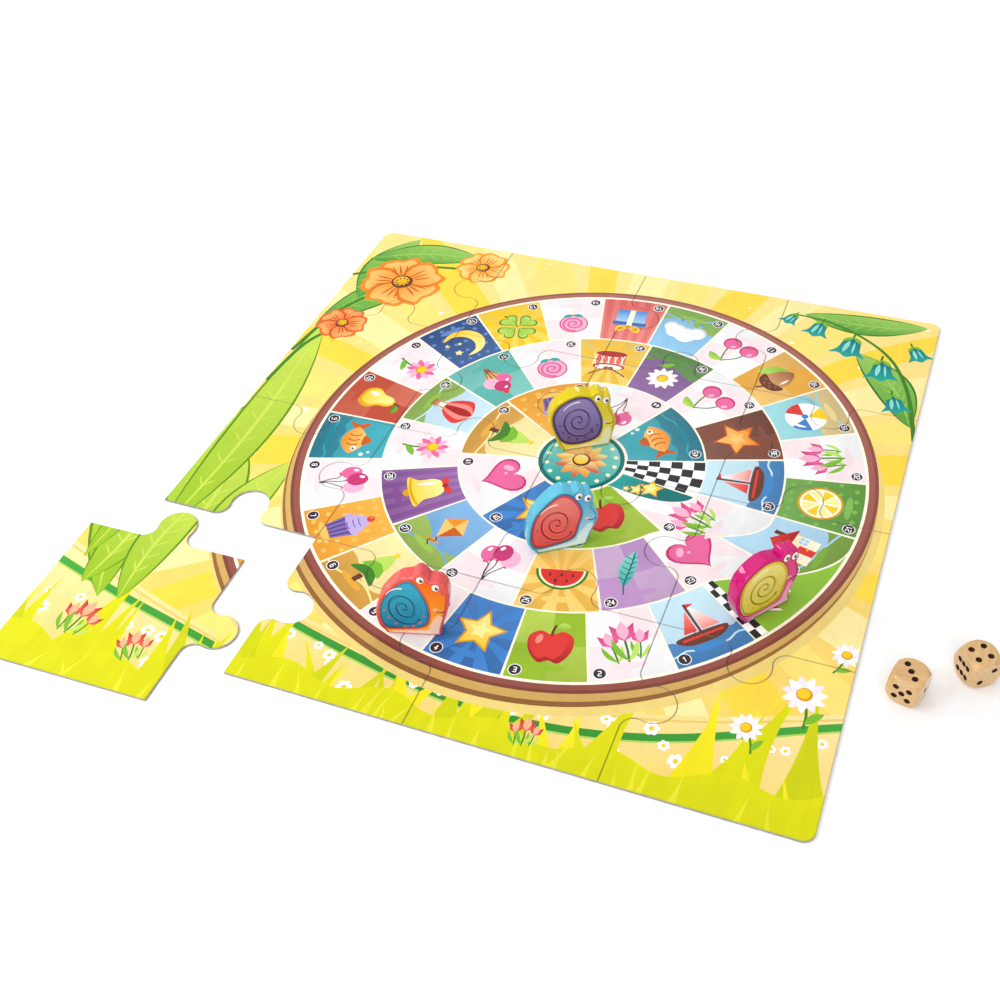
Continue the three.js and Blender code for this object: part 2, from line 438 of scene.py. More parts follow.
def draw_apple(pen, tones):
    body = mirrored([(0, 0.42), (-0.42, 0.58), (-0.8, 0.28), (-0.74, -0.36), (-0.36, -0.84),
                     (0, -0.74)])
    pen.smooth(body, 5, tones[0], tones[1])
    pen.smooth([(x * 0.8 - 0.08, y * 0.82 + 0.03) for x, y in body], 5, tones[1])
    pen.fill(oval(-0.42, 0.2, 0.12, 0.22, -0.3), tones[2])
    pen.line([(0, 0.36), (0.03, 0.6), (0.12, 0.86)], 0.1, BROWN[0])
    pen.fill(leaf((0.1, 0.66), (0.66, 0.86), 0.16, 0.05), GREEN[1], GREEN[2])


def draw_pear(pen, tones):
    body = mirrored([(0, 0.72), (-0.3, 0.5), (-0.38, 0.08), (-0.66, -0.38), (-0.46, -0.84),
                     (0, -0.94)])
    pen.smooth(body, 5, tones[0], tones[1])
    pen.smooth([(x * 0.78 - 0.06, y * 0.86) for x, y in body], 5, tones[1], tones[2])
    pen.fill(oval(-0.26, -0.4, 0.12, 0.24, -0.2), "#FFFBE0")
    pen.line([(0, 0.68), (0.02, 0.84), (0.1, 1.02)], 0.09, BROWN[0])
    pen.fill(leaf((0.05, 0.8), (0.62, 0.92), 0.14, 0.05), GREEN[0], GREEN[1])


def draw_cherries(pen, tones):
    for x in (-0.46, 0.44):
        pen.trail([(x, -0.2), (x * 0.7, 0.3), (0.1, 0.82)], 6, 0.07, GREEN[0])
        pen.fill(oval(x, -0.46, 0.42), tones[0])
        pen.fill(oval(x - 0.03, -0.42, 0.35), tones[1])
        pen.fill(oval(x - 0.16, -0.28, 0.09, 0.13, -0.5), tones[2])
    pen.fill(leaf((0.08, 0.8), (0.86, 0.62), 0.2, 0.1), GREEN[1], GREEN[2])


def draw_clover(pen, tones):
    pen.trail([(0, 0), (0.1, -0.5), (0.34, -1.0)], 6, 0.1, tones[0])
    for k in range(4):
        petal = pen.at(0, 0, TAU * k / 4 + 0.4, 0.52)
        petal.fill(heart(0, 0.95, 0.92), tones[0])
        petal.fill(heart(0, 0.95, 0.78), tones[1], tones[2])
        petal.fill(leaf((0, 0.1), (0, 1.1), 0.06), tones[2])


def draw_tulips(pen, tones):
    for x, y, size in ((-0.5, -0.14, 0.72), (0.52, -0.1, 0.66), (0, 0.08, 0.9)):
        flower = pen.at(x, y, -x * 0.3, size)
        flower.line([(0, -1.1), (0.03, -0.5), (0, 0.2)], 0.1, GREEN[0])
        flower.fill(leaf((0, -1.05), (-0.5, 0.1), 0.13, 0.1), GREEN[1])
        flower.fill(leaf((0, -1.05), (0.48, -0.1), 0.12, -0.1), GREEN[2])
        cup = mirrored([(0, -0.06), (-0.42, 0.16), (-0.5, 0.82), (-0.2, 0.58), (0, 0.94)])
        flower.fill(cup, tones[1], tones[0])
        flower.fill(leaf((0, 0.0), (0, 0.9), 0.24), tones[2])


def draw_daisy(pen, tones):
    pen.trail([(0, 0.1), (0.06, -0.5), (-0.04, -1.05)], 5, 0.09, GREEN[0])
    pen.fill(leaf((0, -0.9), (0.6, -0.45), 0.14, 0.05), GREEN[1])
    for k in range(11):
        tip = polar(0.72, TAU * k / 11, 0, 0.24)
        pen.fill(leaf((0, 0.24), tip, 0.15), tones[1] if k % 2 else tones[2])
    pen.fill(oval(0, 0.24, 0.26), YELLOW[0])
    pen.fill(oval(-0.02, 0.27, 0.2), YELLOW[1])


def draw_lollipop(pen, tones):
    pen.fill(box(-0.05, -1.05, 0.05, 0.1), "#F3E6CF")
    pen.fill(oval(0, 0.32, 0.66), tones[0])
    pen.fill(oval(0, 0.32, 0.6), tones[2])
    pen.line(coil(0, 0.32, 0.54, 2.3), 0.13, tones[1])
    for x in (-0.46, 0.46):
        pen.fill(leaf((0, -0.36), (x, -0.22), 0.12), TEAL[1])


def draw_cone(pen, tones):
    pen.fill([(0, -1.05), (0.46, -0.05), (-0.46, -0.05)], BROWN[1], ORANGE[2])
    for k in (-0.2, 0.0, 0.2):
        pen.line([(k * 0.4, -0.9), (k + 0.14, -0.08)], 0.035, BROWN[0])
        pen.line([(k * 0.4, -0.9), (k - 0.14, -0.08)], 0.035, BROWN[0])
    for x, y, ink in ((-0.3, 0.12, tones[1]), (0.3, 0.12, tones[2]), (0.0, 0.52, tones[0])):
        pen.fill(oval(x, y, 0.37), ink)
        pen.fill(oval(x - 0.1, y + 0.13, 0.09, 0.06, 0.5), PAPER)
    pen.fill(oval(0.06, 0.92, 0.13), RED[1])


def draw_house(pen, tones):
    pen.fill(box(0.3, 0.3, 0.5, 0.92), BROWN[0])
    pen.fill(box(-0.66, -0.85, 0.66, 0.18), CREAM, "#FBE0B0")
    pen.fill([(-0.92, 0.12), (0.92, 0.12), (0, 0.94)], tones[0], tones[1])
    pen.fill(box(-0.18, -0.85, 0.18, -0.2), tones[1])
    pen.fill(oval(0.1, -0.54, 0.04), YELLOW[1])
    for x in (-0.44, 0.44):
        pen.fill(box(x - 0.15, -0.42, x + 0.15, -0.08), BLUE[2])
        pen.fill(box(x - 0.015, -0.42, x + 0.015, -0.08), PAPER)
        pen.fill(box(x - 0.15, -0.265, x + 0.15, -0.235), PAPER)


def draw_fir(pen, tones):
    pen.fill(box(-0.12, -1.0, 0.12, -0.6), BROWN[0])
    for y, half, ink in ((-0.66, 0.72, tones[0]), (-0.24, 0.56, tones[1]), (0.16, 0.42, tones[2])):
        bough = [(-half, y), (0, y + 0.1), (half, y), (0.06, y + 0.76), (-0.06, y + 0.76)]
        pen.smooth(bough, 4, ink)
    pen.fill(star(0, 0.94, 0.18), YELLOW[1])


def draw_airship(pen, tones):
    pen.fill([(-0.3, -0.28), (0.3, -0.28), (0.16, -0.72), (-0.16, -0.72)], CREAM)
    pen.fill([(-0.22, -0.3), (-0.16, -0.3), (-0.12, -0.7), (-0.16, -0.7)], BROWN[0])
    pen.fill([(0.16, -0.3), (0.22, -0.3), (0.16, -0.7), (0.12, -0.7)], BROWN[0])
    for half, ink in ((0.72, tones[1]), (0.46, tones[2]), (0.2, tones[0])):
        side = [(0, 0.98), (-half, 0.66), (-half * 0.98, 0.2), (-half * 0.42, -0.34)]
        pen.smooth(mirrored(side), 5, ink)
    pen.fill(box(-0.22, -1.02, 0.22, -0.7), BROWN[1], BROWN[2])


def draw_gift(pen, tones):
    pen.fill(box(-0.68, -0.86, 0.68, 0.1), tones[1], tones[2])
    pen.fill(box(-0.76, 0.06, 0.76, 0.34), tones[0], tones[1])
    pen.fill(box(-0.12, -0.86, 0.12, 0.34), "#FFF4D4")
    for sign in (-1, 1):
        bow = [(0, 0.34), (sign * 0.5, 0.42), (sign * 0.52, 0.82), (sign * 0.16, 0.66)]
        pen.smooth(bow, 5, YELLOW[1])
        pen.fill(oval(sign * 0.33, 0.58, 0.13, 0.1), YELLOW[0])
    pen.fill(oval(0, 0.42, 0.12), YELLOW[0])


def draw_ball(pen, tones):
    pen.fill(oval(0, 0, 0.86, sides=36), PAPER)
    for k in range(3):
        a = TAU * k / 3 + 0.5
        rim = arc(0, 0, 0.86, a - 0.5, a + 0.5, 10)
        pen.fill([polar(0.1, a)] + rim, tones[k])
    pen.fill(oval(0.03, 0.03, 0.14), tones[1])
    pen.fill(leaf((-0.62, 0.2), (-0.2, 0.66), 0.07, 0.05), PAPER)


def draw_lemon(pen, tones):
    pen.fill(oval(0, 0, 0.88, sides=32), tones[0])
    pen.fill(oval(0, 0, 0.79, sides=32), "#FFFBE2")
    for k in range(8):
        a = TAU * k / 8
        rim = arc(0, 0, 0.7, a + 0.07, a + TAU / 8 - 0.07, 5)
        pen.fill([polar(0.1, a + TAU / 16)] + rim, tones[1] if k % 2 else tones[2])


def draw_melon(pen, tones):
    for r, ink in ((0.98, GREEN[0]), (0.88, "#F2F6D0"), (0.8, tones[1])):
        pen.fill(arc(0, 0.38, r, math.pi, TAU, 22), ink)
    for x, y in ((-0.42, 0.14), (0, 0.16), (0.42, 0.14), (-0.22, -0.14), (0.22, -0.14)):
        pen.fill(drop(x, y, 0.09), INK)


def draw_cake(pen, tones):
    pen.fill([(-0.56, -0.04), (-0.4, -0.9), (0.4, -0.9), (0.56, -0.04)], tones[1])
    for k in (-0.3, -0.1, 0.1, 0.3):
        top = k * 1.3
        fold = [(top - 0.05, -0.05), (k - 0.04, -0.9), (k + 0.04, -0.9), (top + 0.05, -0.05)]
        pen.fill(fold, tones[0])
    for y, half in ((0.06, 0.66), (0.3, 0.5), (0.52, 0.32)):
        pen.fill(oval(0, y, half, 0.22), tones[2])
        pen.line(arc(0, y + 0.5, 0.68, -1.9, -1.24, 8), 0.05, tones[1])
    pen.fill(oval(0.0, 0.82, 0.16), RED[1])
    pen.fill(oval(-0.05, 0.87, 0.05), RED[2])


def draw_acorn(pen, tones):
    pen.fill(leaf((0.1, -0.9), (0.98, 0.3), 0.26, -0.1), GREEN[1], GREEN[2])
    nut = mirrored([(-0.5, 0.1), (-0.42, -0.5), (0, -0.96)]) + [(0, 0.2)]
    pen.smooth(nut, 5, tones[1], tones[2])
    pen.fill(leaf((-0.26, -0.5), (-0.3, 0.02), 0.06), CREAM)
    cup = mirrored([(-0.62, 0.06), (-0.5, 0.5), (0, 0.68)]) + [(0, 0.2)]
    pen.smooth(cup, 5, tones[0])
    for x, y in ((-0.34, 0.26), (0, 0.32), (0.34, 0.26), (-0.17, 0.46), (0.17, 0.46)):
        pen.fill(oval(x, y, 0.08, 0.05), tones[1])
    pen.line([(0, 0.62), (0.04, 0.8), (0.14, 0.94)], 0.1, tones[0])


def draw_feather(pen, tones):
    pen.fill(leaf((-0.5, -0.6), (0.5, 0.95), 0.32, 0.08), tones[1], tones[2])
    for k in range(5):
        t = 0.2 + 0.15 * k
        x = -0.56 + t
        y = -0.62 + 1.5 * t
        pen.line([(x, y), (x + 0.15, y + 0.05), (x + 0.28, y + 0.06)], 0.04, tones[0])
        pen.line([(x, y), (x - 0.1, y + 0.12), (x - 0.16, y + 0.24)], 0.04, tones[0])
    pen.trail([(-0.62, -0.98), (-0.45, -0.5), (0.0, 0.15), (0.46, 0.88)], 6, 0.06, tones[0])


def draw_drum(pen, tones):
    pen.fill(box(-0.66, -0.62, 0.66, 0.3), tones[1], tones[2])
    for k in range(5):
        x = -0.6 + 0.3 * k
        pen.line([(x, 0.2), (x + 0.15, -0.55)], 0.05, "#FFF6D8")
        pen.line([(x, -0.55), (x + 0.15, 0.2)], 0.05, "#FFF6D8")
    pen.fill(oval(0, -0.62, 0.68, 0.2), tones[0])
    pen.fill(oval(0, 0.3, 0.7, 0.24), tones[0])
    pen.fill(oval(0, 0.33, 0.6, 0.18), "#FFFBEA")
    for sign in (-1, 1):
        pen.line([(sign * 0.1, 0.4), (sign * 0.8, 0.9)], 0.07, BROWN[0])
        pen.fill(oval(sign * 0.1, 0.4, 0.12), BROWN[1])


# Track cells: picture, its tones, the ground behind it and the ground's two inks

WHITE_CELLS = ((draw_tulips, PINK), (draw_heart, PINK), (draw_balloons, PINK),
               (draw_daisy, PINK), (draw_lollipop, PINK), (draw_cherries, PINK))
COLOUR_CELLS = (
    (draw_boat, RED, "waves", "#BFE3F2", "#3F86C6"),
    (draw_apple, RED, "quarters", "#A9C93C", "#93B82C"),
    (draw_star, YELLOW, "rays", "#2F6DB5", "#3F82CB"),
    (draw_fir, GREEN, "hills", "#FFE59A", "#E2A53A"),
    (draw_cake, PURPLE, "dots", "#F3A52A", "#F8C05E"),
    (draw_fish, ORANGE, "waves", "#2B9FB0", "#1A7F93"),
    (draw_pear, YELLOW, "quarters", "#C9583F", "#B84A35"),
    (draw_moon, YELLOW, "dots", "#274A86", "#5E86C2"),
    (draw_clover, GREEN, "rays", "#F7D23C", "#F2C21A"),
    (draw_gift, BLUE, "stripes", "#E8746A", "#DD5C58"),
    (draw_cloud, WHITE, "hills", "#7FBDE6", "#86B94A"),
    (draw_acorn, BROWN, "quarters", "#E9B75A", "#DFA43F"),
    (draw_ball, (RED[1], BLUE[1], YELLOW[1]), "hills", "#8FD0D8", "#E8CF8A"),
    (draw_lemon, YELLOW, "dots", "#5E9A3A", "#7DB552"),
    (draw_house, RED, "hills", "#A8D4EE", "#7DAA3C"),
    (draw_feather, TEAL, "quarters", "#C9A5CF", "#B88FC2"),
    (draw_melon, RED, "rays", "#F6C04A", "#F9D173"),
    (draw_kite, ORANGE, "hills", "#6FA8DA", "#9CC24E"),
    (draw_bell, YELLOW, "stripes", "#8E5A9E", "#7E4A90"),
    (draw_airship, RED, "hills", "#BFE0F0", "#8DB848"),
    (draw_cone, PINK, "quarters", "#6CBFB6", "#58AEA6"),
    (draw_drum, RED, "rays", "#EFC94F", "#E9B92F"),
    (draw_daisy, WHITE, "hills", "#7A4F8C", "#4F8A3A"),
    (draw_star, ORANGE, "quarters", "#6E3B2B", "#7F4835"),
)
NUMBER_LINES = {
    "0": [[(0, 0), (1, 0), (1, 2), (0, 2), (0, 0)]],
    "1": [[(0.15, 1.6), (0.6, 2), (0.6, 0)]],
    "2": [[(0, 2), (1, 2), (1, 1.1), (0, 0.8), (0, 0), (1, 0)]],
    "3": [[(0, 2), (1, 2), (1, 0), (0, 0)], [(0.2, 1), (1, 1)]],
    "4": [[(0.7, 0), (0.7, 2), (0, 0.6), (1.05, 0.6)]],
    "5": [[(1, 2), (0, 2), (0, 1.1), (1, 1.1), (1, 0), (0, 0)]],
    "6": [[(0.9, 2), (0, 2), (0, 0), (1, 0), (1, 1.1), (0, 1.1)]],
    "7": [[(0, 2), (1, 2), (0.4, 0)]],
    "8": [[(0, 0), (1, 0), (1, 2), (0, 2), (0, 0)], [(0, 1), (1, 1)]],
    "9": [[(1, 0.9), (0, 0.9), (0, 2), (1, 2), (1, 0), (0.1, 0)]],
}


def lane_outer(progress):
    """The lane's outer radius after so many radians of track."""
    lap = math.floor(progress / TAU + 1e-9)
    t = (progress - lap * TAU - TAU + LANE_SHIFT) / LANE_SHIFT
    t = min(max(t, 0.0), 1.0)
    return max(HOME_RADIUS, TRACK_RADIUS - LANE_WIDTH * (lap + t * t * (3 - 2 * t)))


def track_point(progress, radius):
    """A place on the board, so many radians along the track."""
    return polar(radius, START_ANGLE - progress, TRACK_X, TRACK_Y)


class Cell:
    """One cell of the lane, -1 to 1 across it along the lane and -1 to 1 up to its inner edge."""

    def __init__(self, sheet, start, end):
        self.sheet = sheet
        self.middle = (start + end) / 2
        self.half = (start - end) / 2

    def point(self, across, up):
        progress = self.middle + across * self.half
        outer = lane_outer(progress)
        inner = lane_outer(progress + TAU)
        return track_point(progress, outer + (inner - outer) * (up + 1) / 2)

    def map(self, points):
        return [self.point(*p) for p in points]

    def fill(self, points, ink, fade=None):
        ramp = (self.point(0, -1), self.point(0, 1))
        self.sheet.append(Layer(self.map(points), ink, fade, ramp))

    def patch(self, x0, y0, x1, y1, steps=8):
        """A patch of the cell that follows the lane's bend."""
        run = [x0 + (x1 - x0) * i / steps for i in range(steps + 1)]
        return [(x, y0) for x in run] + [(x, y1) for x in run[::-1]]

    def pen(self, size, across=0.0, up=0.0):
        x, y = self.point(across, up)
        turn = START_ANGLE - self.middle - across * self.half + math.pi / 2
        return Pen(self.sheet, x, y, turn, size)


def paint_ground(cell, style, first, second, edge_x, edge_y):
    """A cell's ground in one of six styles: quarters, stripes, dots, rays, waves or hills."""
    whole = cell.patch(-edge_x, -edge_y, edge_x, edge_y)
    cell.fill(whole, tint(first, 0.12, INK), tint(first, 0.12))
    if style == "quarters":
        cell.fill(cell.patch(-edge_x, -edge_y, 0, 0), second)
        cell.fill(cell.patch(0, 0, edge_x, edge_y), second)
    elif style == "stripes":
        for k in range(5):
            x = -edge_x + 2 * edge_x * (k + 0.25) / 5
            band = cell.patch(x, -edge_y, x + 0.2, edge_y, 3)
            cell.fill(band, tint(second, 0.12, INK), tint(second, 0.12))
    elif style == "dots":
        for i in range(5):
            for j in range(5):
                shift = 0.1 if j % 2 else -0.1
                spot = (-0.76 + 0.38 * i + shift, -0.78 + 0.39 * j)
                cell.fill(oval(spot[0], spot[1], 0.075, 0.062, sides=10), second)
    elif style == "rays":
        for k in range(10):
            a = TAU * k / 10
            rim = []
            for i in range(5):
                b = a + TAU / 20 * i / 4
                reach = min(edge_x / max(abs(math.cos(b)), 1e-6),
                            edge_y / max(abs(math.sin(b)), 1e-6))
                rim.append(polar(reach, b))
            cell.fill([polar(0.02, a)] + rim, second)
    else:
        swell = 0.05 if style == "waves" else 0.16
        pace = 9.0 if style == "waves" else 2.6
        run = [-edge_x + 2 * edge_x * i / 16 for i in range(17)]
        for level, ink in ((-0.3, second), (-0.62, None)):
            crest = [(x, level + swell * math.sin(pace * x + 9 * level)) for x in run]
            shape = [(x, -edge_y) for x in run] + crest[::-1]
            if ink:
                cell.fill(shape, tint(ink, 0.2, INK), tint(ink, 0.18))
            else:
                cell.fill(stroke(crest, 0.05), first)


def paint_number(pen, number):
    """A round badge with a cell's number."""
    text = str(number)
    pen.fill(oval(0, 0, BADGE_RADIUS), PAPER)
    pen.fill(oval(0, 0, BADGE_RADIUS - 0.5), INK)
    for k, digit in enumerate(text):
        place = pen.at((k - (len(text) - 1) / 2) * 2.6 - 0.85, -DIGIT_SIZE, 0, DIGIT_SIZE)
        for line in NUMBER_LINES[digit]:
            for first, second in zip(line, line[1:]):
                place.line([first, second], 0.34, PAPER)
            for spot in line:
                place.fill(oval(spot[0], spot[1], 0.17, sides=8), PAPER)


def paint_cell(cell, index):
    length = abs(cell.half) * (lane_outer(cell.middle) - LANE_WIDTH / 2)
    edge_x = 1 - CELL_BORDER / length
    edge_y = 1 - 2 * CELL_BORDER / LANE_WIDTH
    if index % 3 == 1:
        picture, tones = WHITE_CELLS[index // 3 % len(WHITE_CELLS)]
        paint_ground(cell, "quarters", PAPER, "#F3E1E4", edge_x, edge_y)
    else:
        place = index - (index + 1) // 3
        picture, tones, style, first, second = COLOUR_CELLS[place % len(COLOUR_CELLS)]
        paint_ground(cell, style, first, second, edge_x, edge_y)
    shadow = cell.pen(1.0, 0.0, -0.62)
    shade = "#F0DCE1" if index % 3 == 1 else second
    shadow.fill(oval(0, 0, 11, 2.6), shade)
    picture(cell.pen(PICTURE_SIZE, 0.0, 0.06), tones)
    paint_number(cell.pen(1.0, -0.74, -0.76), index + 1)


def paint_chequers(cell, columns, rows, edge):
    for i in range(columns):
        for j in range(rows):
            x = -edge + 2 * edge * i / columns
            y = -1 + 2 * j / rows
            ink = BLACK if (i + j) % 2 else PAPER
            cell.fill(cell.patch(x, y, x + 2 * edge / columns, y + 2 / rows, 3), ink)


def lane_cells(end):
    """Cell bounds, evenly spaced along the middle of the lane."""
    steps = 3000
    lengths = [0.0]
    for i in range(steps):
        middle = lane_outer(end * (i + 0.5) / steps) - LANE_WIDTH / 2
        lengths.append(lengths[-1] + middle * end / steps)
    count = round(lengths[-1] / CELL_LENGTH)
    bounds = []
    for i, length in enumerate(lengths):
        while len(bounds) <= count and length >= lengths[-1] * len(bounds) / count - 1e-9:
            bounds.append(end * i / steps)
    return bounds


def paint_home(pen):
    pen.fill(oval(0, 0, HOME_RADIUS, sides=48), "#FFF8E6")
    pen.fill(oval(0, 0, HOME_RADIUS - 1.4, sides=48), TEAL[0])
    pen.fill(oval(0, 0, HOME_RADIUS - 4.5, sides=48), TEAL[1], TEAL[2])
    for k in range(16):
        pen.fill(oval(*polar(24.5, TAU * k / 16), 1.7, sides=12), "#FFF6CC")
    flower = pen.at(0, 0, 0, 19.0)
    for k in range(12):
        petal = leaf((0, 0), polar(1.0, TAU * k / 12), 0.2)
        flower.fill(petal, RED[1] if k % 2 else ORANGE[1], YELLOW[2])
    flower.fill(oval(0, 0, 0.34), BROWN[0])
    flower.fill(oval(-0.02, 0.03, 0.27), YELLOW[1], YELLOW[2])


def paint_track(sheet):
    pen = Pen(sheet, TRACK_X, TRACK_Y)
    pen.fill(oval(3, -13, TRACK_RADIUS + 11, sides=120), "#E9CF7A")
    pen.fill(oval(0, -9, TRACK_RADIUS + 9, sides=120), "#8A5A2E", "#C08A4A")
    pen.fill(oval(0, -5, TRACK_RADIUS + 9, sides=120), "#C9A158", "#E0BE7C")
    pen.fill(oval(0, 0, TRACK_RADIUS + 8, sides=120), "#7A3F33", "#94534A")
    pen.fill(oval(0, 0, TRACK_RADIUS + 5.6, sides=120), "#8E4C41", "#A9675A")
    pen.fill(oval(0, 0, TRACK_RADIUS + 1.4, sides=120), "#FFF7E2")
    end = 3 * TAU - LANE_SHIFT
    bounds = lane_cells(end - FINISH_SPAN)
    for index, (start, stop) in enumerate(zip(bounds, bounds[1:])):
        paint_cell(Cell(sheet, start, stop), index)
    paint_chequers(Cell(sheet, end - FINISH_SPAN, end), 4, 7, 0.97)
    gate = Cell(sheet, end, 3 * TAU - 0.01)
    gate.fill(gate.patch(-0.97, -0.97, 0.97, 0.97, 16), TEAL[0], TEAL[1])
    for across, size in ((0.62, 9.0), (0.16, 6.0), (-0.16, 3.0)):
        draw_star(gate.pen(size, across, 0.0), YELLOW)
    steps = [TAU - LANE_SHIFT * i / 14 for i in range(15)]
    wedge = [track_point(a, TRACK_RADIUS - 0.7) for a in steps]
    wedge += [track_point(a, min(lane_outer(a) + 0.9, TRACK_RADIUS - 0.75)) for a in steps[::-1]]
    sheet.append(Layer(wedge, "#8CBF3A", "#8CBF3A", (wedge[0], wedge[-1])))
    for j in range(2):
        for k in range(8):
            a = TAU - 2 * START_STEP + START_STEP * j
            r = TRACK_RADIUS - 1.0 - START_SQUARE * k
            corners = box(a, r, a + START_STEP, r - START_SQUARE)
            square = [track_point(*corner) for corner in corners]
            ink = BLACK if (j + k) % 2 else PAPER
            sheet.append(Layer(square, ink, ink, (square[0], square[2])))
    x, y = track_point(-0.155, TRACK_RADIUS - 21)
    arrow = Pen(sheet, x, y, START_ANGLE + 0.155 - math.pi / 2, 1.0)
    shape = [(-13, -5), (1, -5), (1, -11), (14, 0), (1, 11), (1, 5), (-13, 5)]
    arrow.fill([(px * 1.14, py * 1.2) for px, py in shape], PAPER)
    arrow.fill(shape, RED[0], RED[1])
    paint_home(pen)


def paint_poppy(pen, tones):
    for k in range(5):
        petal = pen.at(0, 0, TAU * k / 5 + 0.3, 1.0)
        shape = [(0, 0), (-0.52, 0.42), (-0.46, 0.92), (-0.1, 1.0), (0.1, 0.94), (0.46, 0.98),
                 (0.54, 0.44)]
        petal.smooth(shape, 5, tones[0], tones[1])
        petal.smooth([(x * 0.8, 0.06 + y * 0.84) for x, y in shape], 5, tones[1], tones[2])
        for x in (-0.2, 0.0, 0.2):
            petal.fill(leaf((x * 0.3, 0.2), (x, 0.72), 0.025), tones[0])
    pen.fill(oval(0, 0, 0.27), BROWN[0])
    pen.fill(oval(-0.02, 0.02, 0.2), YELLOW[0], YELLOW[1])
    for k in range(9):
        pen.fill(oval(*polar(0.15, TAU * k / 9), 0.03, sides=8), BROWN[0])


def paint_bellflower(pen, tones):
    pen.line([(0, 1.1), (-0.04, 0.8), (0, 0.5)], 0.1, GREEN[0])
    cup = mirrored([(0, 0.66), (-0.34, 0.44), (-0.46, -0.1), (-0.72, -0.5), (-0.36, -0.42),
                    (0, -0.62)])
    pen.smooth(cup, 5, tones[1], tones[0])
    pen.fill(leaf((-0.2, -0.34), (-0.1, 0.5), 0.1), tones[2])
    pen.fill(leaf((0.18, -0.34), (0.12, 0.46), 0.05), tones[2])
    for x in (-0.4, 0.4):
        pen.fill(leaf((0, 0.78), (x, 0.42), 0.1), GREEN[1])


def paint_broad_leaf(pen, tip, width, bow, inks):
    """A big veined leaf from the pen's place."""
    pen.fill(leaf((0, 0), tip, width * 1.07, bow, 16), inks[0])
    pen.fill(leaf((0, 0), tip, width * 0.95, bow, 16), inks[1], inks[2])
    pen.fill(leaf((0, 0), (tip[0] * 0.97, tip[1] * 0.97), width * 0.08, bow, 16), inks[2])
    length = math.hypot(*tip)
    along = (tip[0] / length, tip[1] / length)
    side = (-along[1], along[0])
    for k in range(2, 9):
        t = k / 10
        swell = math.sin(math.pi * t)
        x = tip[0] * t + side[0] * bow * swell
        y = tip[1] * t + side[1] * bow * swell
        for sign in (-1, 1):
            out = sign * width * 0.62 * swell ** 0.8
            vein = (x + side[0] * out + along[0] * 9, y + side[1] * out + along[1] * 9)
            pen.fill(leaf((x, y), vein, 0.55), inks[2])


def paint_sky(sheet):
    pen = Pen(sheet)
    pen.fill(box(-SHEET_HALF, -SHEET_HALF, SHEET_HALF, SHEET_HALF), "#F5D062", "#F8DF8A")
    rays = Pen(sheet, TRACK_X, TRACK_Y)
    for k in range(36):
        a = TAU * (k + 0.35) / 36
        ray = leaf(polar(120, a), polar(350, a), 12 + 4 * (k % 2), 5, 12)
        rays.fill(ray, ("#FBE8A0", "#F8D544", "#F9DF76")[k % 3])
    source = random.Random(11)
    for _ in range(70):
        x = source.uniform(-232, 232)
        y = source.uniform(-120, 232)
        pen.fill(oval(x, y, source.uniform(0.9, 2.0), sides=10), "#FFFDF0")


def paint_meadow(sheet):
    pen = Pen(sheet)
    base = [(SHEET_HALF, -SHEET_HALF), (-SHEET_HALF, -SHEET_HALF)]
    rim = [(-241, -138), (-160, -166), (-60, -192), (40, -200), (140, -186), (241, -152)]
    line = curve(rim, 10, False)
    pen.fill(line + base, "#F3CE70", "#F8E4A2")
    pen.line([(x, y - 4) for x, y in line], 1.6, "#EAC76C")
    lower = [(x, y - 13 - 5 * math.sin(x / 60)) for x, y in line]
    pen.fill(stroke(lower, 5.2), "#2F8B2C", "#46A53C")
    pen.line([(x, y - 3.4) for x, y in lower], 1.3, "#A9CF5A")
    source = random.Random(5)
    for _ in range(40):
        x = source.uniform(-232, 232)
        y = source.uniform(-232, -204) + 34 * abs(x / 240) ** 2
        small = pen.at(x, y, source.uniform(0, TAU), source.uniform(2.4, 5.2))
        for k in range(6):
            small.fill(oval(*polar(0.62, TAU * k / 6), 0.36, sides=10), PAPER)
        small.fill(oval(0, 0, 0.34, sides=10), YELLOW[1])
    lime = ("#D2D200", "#DAD800")
    inks = (lime, lime, ("#C4C900", "#CED000"), ("#E4D800", "#F4E420"))
    for _ in range(46):
        x = source.uniform(-250, 250)
        tall = source.uniform(34, 58) + 80 * source.random() * abs(x / 240) ** 1.5
        tip = (x + source.uniform(-20, 20), -244 + tall)
        base_ink, tip_ink = source.choice(inks)
        wide = source.uniform(0.45, 0.75) * tall
        pen.fill(blade((x, -250), tip, wide, source.uniform(-16, 16)), base_ink, tip_ink)
    turf = [(6 * k - SHEET_HALF, -224 + 5 * math.sin(k * 0.55) + 14 * abs(k / 40 - 1) ** 3)
            for k in range(82)]
    pen.fill(turf + [(245, -SHEET_HALF), base[1]], *lime)
    for _ in range(30):
        x = source.uniform(-240, 240)
        tip = (x + source.uniform(-8, 8), -238 + source.uniform(10, 24))
        shape = blade((x, -246), tip, source.uniform(5, 9), source.uniform(-6, 6))
        pen.fill(shape, "#DEDC1A", "#E8E23C")


